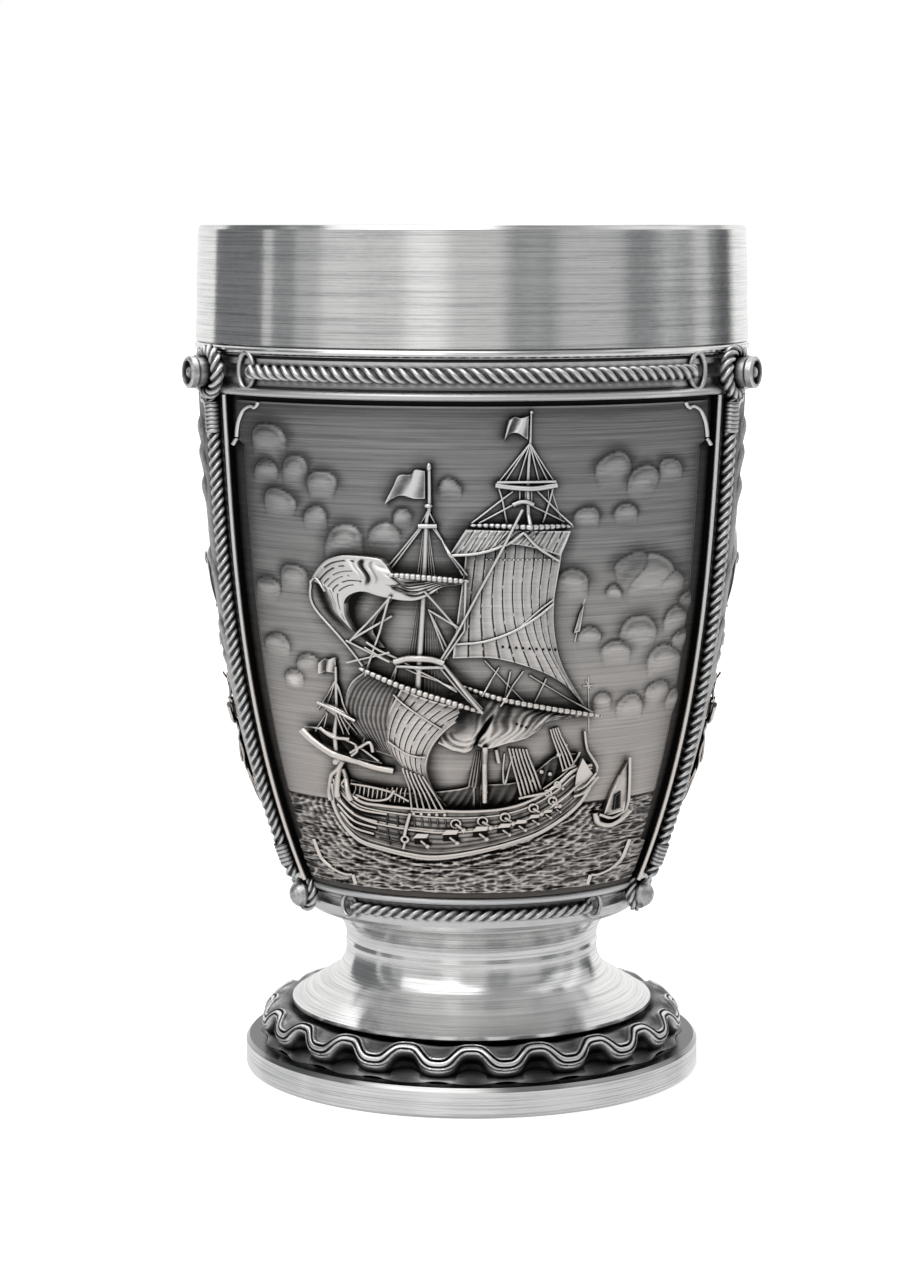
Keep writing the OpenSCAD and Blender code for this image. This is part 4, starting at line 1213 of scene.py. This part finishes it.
def hull(p):
    """The near side of the ship with its rails, wales, ports, rings and stern."""
    rail = [(-9.5, 24.7, .35), (-8.7, 23.5, .45), (-7.4, 22.7, .6), (-5.6, 22.6, .7), (-3.9, 22.5, .75),
            (-0.8, 22.4, .8), (1.5, 22.5, .8), (3.1, 22.8, .8), (4.7, 23.5, .75), (6.2, 24.5, .65),
            (7.2, 25.3, .55), (8.5, 25.5, .4)]
    bottom = [(x, z, 0.15) for x, z in KEEL]
    p.sail([(-8.5, 24.3, .2), (-5, 23.6, .25), (-0.9, 24.0, .25), (0.2, 24.5, .2)],
           [(-8.5, 22.0, .2), (-5, 22.0, .25), (0.2, 22.0, .2)], belly=0.12, cloths=0,
           folds=(14, 0.03, 2), patina_and_painted_light=0.3)
    p.sail([(0.6, 24.3, .2), (3.5, 24.6, .3), (5.8, 26.3, .3), (7.5, 26.4, .2)],
           [(0.6, 22.0, .2), (3.5, 22.4, .3), (7.0, 23.6, .2)], belly=0.1, cloths=0,
           folds=(9, 0.04, 1), patina_and_painted_light=0.35)
    grid, u, v, _, tall = p.coons(rail, bottom, step=0.085)
    bulge = np.sin(np.pi * np.clip(u, 0, 1)) ** 0.35
    grid[..., 2] += 0.5 * np.sin(np.pi * np.clip(v, 0, 1) ** 1.15) * bulge
    ink = 0.14 + 0.10 * value_noise(u * 60, v * 8, 41)
    for plank in np.arange(0.12, 0.95, 0.105):
        ink += 0.45 * np.exp(-((v - plank) * tall / 0.075) ** 2)
    for wale in (0.39, 0.86):
        raised = np.exp(-((v - wale) * 4.0 / 0.16) ** 4)
        grid[..., 2] += 0.10 * raised
        ink -= 0.15 * raised
    p.sheet(grid, ink)
    last_row, last_column = grid.shape[0] - 1, grid.shape[1] - 1
    for level, size in ((0.0, 0.13), (0.13, 0.08), (0.41, 0.08), (0.93, 0.13), (0.99, 0.11)):
        line = [grid[int(level * last_row), int(share * last_column), :2]
                for share in np.linspace(0.01, 0.99, 15)]
        p.bar(line, size, 0.0, 0.3, patina_and_painted_light=-0.3)
    # beak rails at the bow, which sweep down to the stem
    for start, bend, end in (((-9.3, 23.6), (-7.8, 22.3), (-5.7, 22.0)),
                             ((-9.3, 23.0), (-7.9, 21.8), (-6.3, 21.4)),
                             ((-9.2, 22.4), (-8.0, 21.3), (-6.4, 20.9)),
                             ((-9.0, 21.8), (-8.1, 20.8), (-6.6, 20.4))):
        p.bar([start, bend, end], 0.10, 0.04, 0.2, patina_and_painted_light=-0.3)
        p.bar([(start[0] + .1, start[1] - .28), (bend[0] + .05, bend[1] - .25), (end[0], end[1] - .22)],
              0.05, 0.0, 0.2, patina_and_painted_light=0.8)
    for x, z0, z1 in ((-5.7, 22.0, 19.6), (-5.0, 21.9, 20.8), (-4.9, 20.7, 19.7)):
        p.bar([(x, z0), (x + 0.1, z1)], 0.05, 0.0, 0.2, patina_and_painted_light=0.5)
    for z in (21.6, 21.1, 20.6, 20.1):
        p.bar([(-6.3, z), (-5.2, z - 0.2), (-4.8, z - 0.2)], 0.05, 0.0, 0.2, patina_and_painted_light=0.4)
    # scroll at the stem head
    p.bar([(-9.75, 22.6), (-9.9, 23.6), (-9.7, 24.5), (-9.3, 25.0), (-9.1, 25.6)], [0.14, 0.22], 0.2)
    p.ball(-9.45, 25.6, 0.26, 0.35, 1.3)
    p.bar([(-9.2, 24.8), (-8.8, 24.4), (-9.0, 23.9), (-8.6, 23.6)], 0.12, 0.15)
    # shrouds, chain plates and deadeyes
    p.fan((-4.0, 22.4), (-1.9, 22.5), (-4.6, 25.6), (-3.3, 25.0), 6, 0.06, 0.1)
    for x in np.linspace(-3.9, -1.8, 5):
        p.ball(x, 22.15, 0.14, 0.08)
        p.bar([(x, 22.0), (x + 0.1, 21.2)], 0.05, 0.0, 0.1, patina_and_painted_light=0.3)
    p.bar([(-4.1, 22.3), (-1.7, 22.35)], 0.07, 0.1)
    p.fan((3.4, 23.4), (4.8, 23.7), (2.6, 27.0), (3.8, 26.9), 6, 0.07, 0.15)
    p.bar([(3.2, 23.3), (4.95, 23.7)], 0.12, 0.2)
    p.fan((6.3, 25.2), (7.1, 25.5), (5.5, 28.3), (6.0, 28.4), 4, 0.06, 0.15)
    p.bar([(6.2, 25.2), (7.2, 25.5)], 0.09, 0.15)
    p.fan((-0.2, 24.2), (0.7, 24.0), (0.3, 26.8), (0.9, 26.8), 5, 0.05, 0.05, 0.1)
    p.bar([(0.9, 23.0), (0.9, 27.2)], 0.2, 0.15)
    for z in (23.8, 24.6, 25.4):
        p.bar([(0.7, z), (1.1, z)], 0.1, 0.2, patina_and_painted_light=0.2)
    p.bar([(1.7, 26.9), (1.9, 25.9)], 0.16, 0.1)
    p.bar([(2.3, 26.6), (2.2, 25.2), (2.3, 24.4), (2.9, 26.4)], 0.08, 0.05)
    # lids, holes painted black as shade, and guns
    for x, z, size in ((-3.3, 20.15, .95), (-1.34, 20.5, 1.0), (0.62, 20.8, .95), (2.18, 21.05, .85),
                       (3.25, 21.33, .8), (4.15, 21.72, .7), (5.05, 22.08, .62), (5.78, 22.4, .5)):
        p.gun_port(x, z, size)
    for x, z, size in ((-1.06, 21.5, .32), (0.73, 21.7, .32), (2.24, 21.98, .31), (4.14, 22.6, .3),
                       (5.44, 23.07, .27), (5.15, 23.66, .22), (5.82, 24.24, .2)):
        p.ring(x, z, size, 0.08, 0.06)
        # painted shade: a black ball sunk in each ring stands for the shaded hole
        p.ball(x, z, 0.7 * size, -0.35 * size, ink=1.2)
        p.barrel(x, z - 0.05, 2.0 * size, 0.5 * size)
    # lanyard with a ring at the cathead
    p.bar([(-4.1, 22.2), (-4.3, 21.3), (-4.45, 20.5)], 0.12, 0.1)
    p.ring(-4.45, 20.2, 0.22, 0.09, 0.15)
    p.bar([(-4.5, 19.9), (-4.6, 19.4)], 0.09, 0.1)
    # stern gallery, rails up to it and the after deck
    p.bar([(4.9, 23.9), (6.4, 25.0), (7.2, 25.9), (7.5, 26.5)], 0.08, 0.1)
    p.bar([(7.9, 28.0), (8.1, 26.6), (8.6, 25.3), (8.5, 24.4)], [0.08, 0.14], 0.2)
    p.block([(6.9, 23.4), (8.4, 24.5), (7.5, 26.1), (7.1, 25.0)], -0.1, 0.25, -0.15)
    p.bar([(6.8, 23.3), (7.6, 23.6), (8.6, 24.6)], 0.12, 0.3)
    p.bar([(7.0, 23.8), (7.7, 24.1), (8.4, 24.9)], 0.07, 0.3)
    for x, z in ((4.2, 24.6), (4.8, 25.2), (5.4, 25.0), (6.0, 26.4), (6.6, 27.0)):
        p.ball(x, z, 0.18, 0.05)
    for x in np.arange(-8.2, -4.4, 0.32):
        p.bar([(x, 22.9), (x + 0.1, 23.9)], 0.06, 0.05, 0.1)
    p.bar([(-8.4, 24.0), (-7.0, 23.9), (-5.5, 23.6), (-4.3, 23.0)], 0.1, 0.1)
    p.bar([(-8.0, 23.2), (-6.9, 22.9), (-5.8, 23.1), (-5.3, 23.8)], 0.12, 0.15)


def far_ships(p):
    """The small boat on the right and masts far off behind the stern."""
    p.sail([(10.6, 24.6, .2), (11.1, 25.4, .2)], [(9.3, 21.3, .2), (10.8, 21.6, .25)],
           [(10.6, 24.6, .2), (9.8, 22.9, .2), (9.3, 21.3, .2)],
           [(11.1, 25.4, .2), (11.1, 23.5, .25), (10.8, 21.6, .25)],
           belly=0.2, cloths=0, patina_and_painted_light=-0.1)
    p.sail([(10.0, 22.9, .45), (10.4, 23.2, .45)], [(9.9, 21.8, .45), (10.4, 21.9, .45)],
           belly=0.0, cloths=0, patina_and_painted_light=0.8)
    p.bar([(11.0, 21.5), (11.1, 25.7)], 0.09, 0.1)
    p.bar([(8.8, 21.7), (9.0, 20.9), (9.8, 20.6), (10.6, 20.9), (11.3, 21.5)], 0.22, 0.15)
    p.bar([(8.9, 21.6), (9.9, 21.2), (11.2, 21.6)], 0.12, 0.15)
    p.bar([(7.2, 34.5), (7.9, 37.6)], 0.05, 0.0)
    p.sail([(7.5, 36.6, .1), (7.8, 37.2, .1)], [(7.1, 35.2, .1), (7.5, 35.3, .1)], belly=0.06, cloths=0)
    p.bar([(8.3, 27.8), (8.2, 32.0)], 0.05, 0.0)
    p.bar([(7.8, 31.3), (8.6, 31.3)], 0.06, 0.0)
    p.bar([(8.0, 31.7), (8.4, 31.0)], 0.05, 0.0)


SIDE_RELIEF = 0.7  # the ships at the sides stand out this much of what the front one does
SHIP_PARTS = {"fore_sails_": (far_ships, fore_mast), "main_sails_": (main_mast,),
              "hull_": (hull, mizzen_mast)}


def picture_plate(bay, mirrored):
    """The pieces of one plate: sunk border, sky and sea, and the ship in three parts."""
    node = "panel_" + bay
    piece("border_" + bay, plate(bay), RELIEF, node)
    piece("seascape_" + bay, ground(bay, mirrored), RELIEF, node)
    relief = 1.0 if bay == "front" else SIDE_RELIEF
    picture = Picture()
    corner_brackets(picture)
    for name, parts in SHIP_PARTS.items():
        for draw in parts:
            draw(picture)
        heap = lay_heap(picture.heap, bay, mirrored, relief)
        piece(name + bay, heap, RELIEF, node)
        picture.heap = Heap()


for bay in BAYS:
    picture_plate(bay, bay == "left")


# ---- studio ---------------------------------------------------------------------------------
# What the cup mirrors, by direction: degrees from the camera's side (positive to the right) at
# which each upright strip starts, and how bright it is.
STRIPS = [(-180, 0.88), (-134, 0.17), (-97, 0.56), (-91, 0.25), (-78, 0.43), (-66, 0.60),
          (-47, 0.55), (-28, 0.80), (-11, 0.55), (14, 0.28), (22, 0.34), (28, 0.27),
          (35, 0.46), (60, 0.43), (66, 0.22), (84, 0.36), (92, 0.27), (103, 0.50),
          (115, 0.20), (121, 0.10), (134, 0.6), (138, 0.90), (150, 0.93)]


def studio_world():
    """White to the camera; the metal mirrors the strips, a ceiling light and a pale lower half."""
    world = bpy.data.worlds.new("studio")
    bpy.context.scene.world = world
    world.use_nodes = True
    tree = world.node_tree
    tree.nodes.clear()
    way = add(tree, "TexCoord").outputs["Generated"]
    split = add(tree, "SeparateXYZ", {0: way}).outputs
    back = math_node(tree, "MULTIPLY", split[1], -1.0)
    turn = math_node(tree, "ARCTAN2", split[0], back)
    strips = add(tree, "ValToRGB", {0: remap(tree, turn, -math.pi, math.pi)})
    strips.color_ramp.interpolation = "CONSTANT"
    line = strips.color_ramp.elements
    while len(line) < len(STRIPS):
        line.new(0.99)
    for element, (start, bright) in zip(line, STRIPS):
        element.position = (start + 180) / 360
        cool = 1.0 - 0.10 * max(0.0, 0.5 - bright)
        element.color = (bright * cool, bright, bright / cool, 1.0)
    soft = "SMOOTHSTEP"
    up = remap(tree, split[2], 0.55, 0.85, kind=soft)
    left_end = remap(tree, split[0], -0.65, -0.45, kind=soft)
    right_end = remap(tree, split[0], 0.0, 0.25, 1.0, 0.0, soft)
    overhead = math_node(tree, "MULTIPLY", left_end, right_end)
    ceiling = blend(tree, overhead, (0.38, 0.38, 0.39, 1), (2.0, 2.0, 2.0, 1))
    dome = blend(tree, up, strips.outputs[0], ceiling)
    down = remap(tree, split[2], -0.08, -0.23, 0.0, 0.88, soft)
    mixed = blend(tree, down, dome, (0.76, 0.76, 0.77, 1))
    seen = add(tree, "Background", {0: mixed, 1: 1.0})
    white = add(tree, "Background", {0: (1.0, 1.0, 1.0, 1), 1: 1.0})
    camera_ray = add(tree, "LightPath").outputs["Is Camera Ray"]
    mix = add(tree, "MixShader", {0: camera_ray, 1: seen.outputs[0], 2: white.outputs[0]})
    output = tree.nodes.new("ShaderNodeOutputWorld")
    tree.links.new(mix.outputs[0], output.inputs[0])


def soft_light(name, place, target, size, power):
    """A square lamp at place that faces target."""
    data = bpy.data.lights.new(name, "AREA")
    data.shape = "SQUARE"
    data.size = size
    data.energy = power
    light = scene_object(name, data)
    light.location = place
    way = Vector(target) - Vector(place)
    light.rotation_euler = way.to_track_quat("-Z", "Y").to_euler()


def floor():
    """A plain pale floor, which the metal does not mirror."""
    mesh = bpy.data.meshes.new("floor")
    half = 3.0
    mesh.from_pydata([(-half, -half, 0), (half, -half, 0), (half, half, 0), (-half, half, 0)],
                     [], [(0, 1, 2, 3)])
    obj = scene_object("floor", mesh)
    material, tree, shader = new_material("floor_paper")
    shader.inputs["Metallic"].default_value = 0.0
    shader.inputs["Roughness"].default_value = 0.9
    paper = ramp(tree, noise(tree, 30.0, 3.0), [(0.3, 0.90), (0.7, 0.93)])
    tree.links.new(paper, shader.inputs["Base Color"])
    shader.inputs["Emission Color"].default_value = (1, 1, 1, 1)
    shader.inputs["Emission Strength"].default_value = 0.5
    mesh.materials.append(material)
    obj.visible_glossy = False


def camera():
    """From the front, level with the drinking edge and looking a little down."""
    data = bpy.data.cameras.new("camera")
    data.lens = 90
    data.clip_start = 0.01
    obj = scene_object("camera", data)
    tall = cad_box[1][2]
    obj.location = (0, -3.78 * tall, 1.002 * tall)
    obj.rotation_euler = (math.radians(90 - 7.42), 0, math.radians(0.275))
    bpy.context.scene.camera = obj


studio_world()
soft_light("key", (-0.6, -0.7, 0.9), (0, 0, 0.03), 1.2, 3.0)
soft_light("fill", (0.8, 0.2, 0.6), (0, 0, 0.03), 1.0, 1.5)
floor()
camera()
bpy.context.scene.view_settings.view_transform = "Standard"
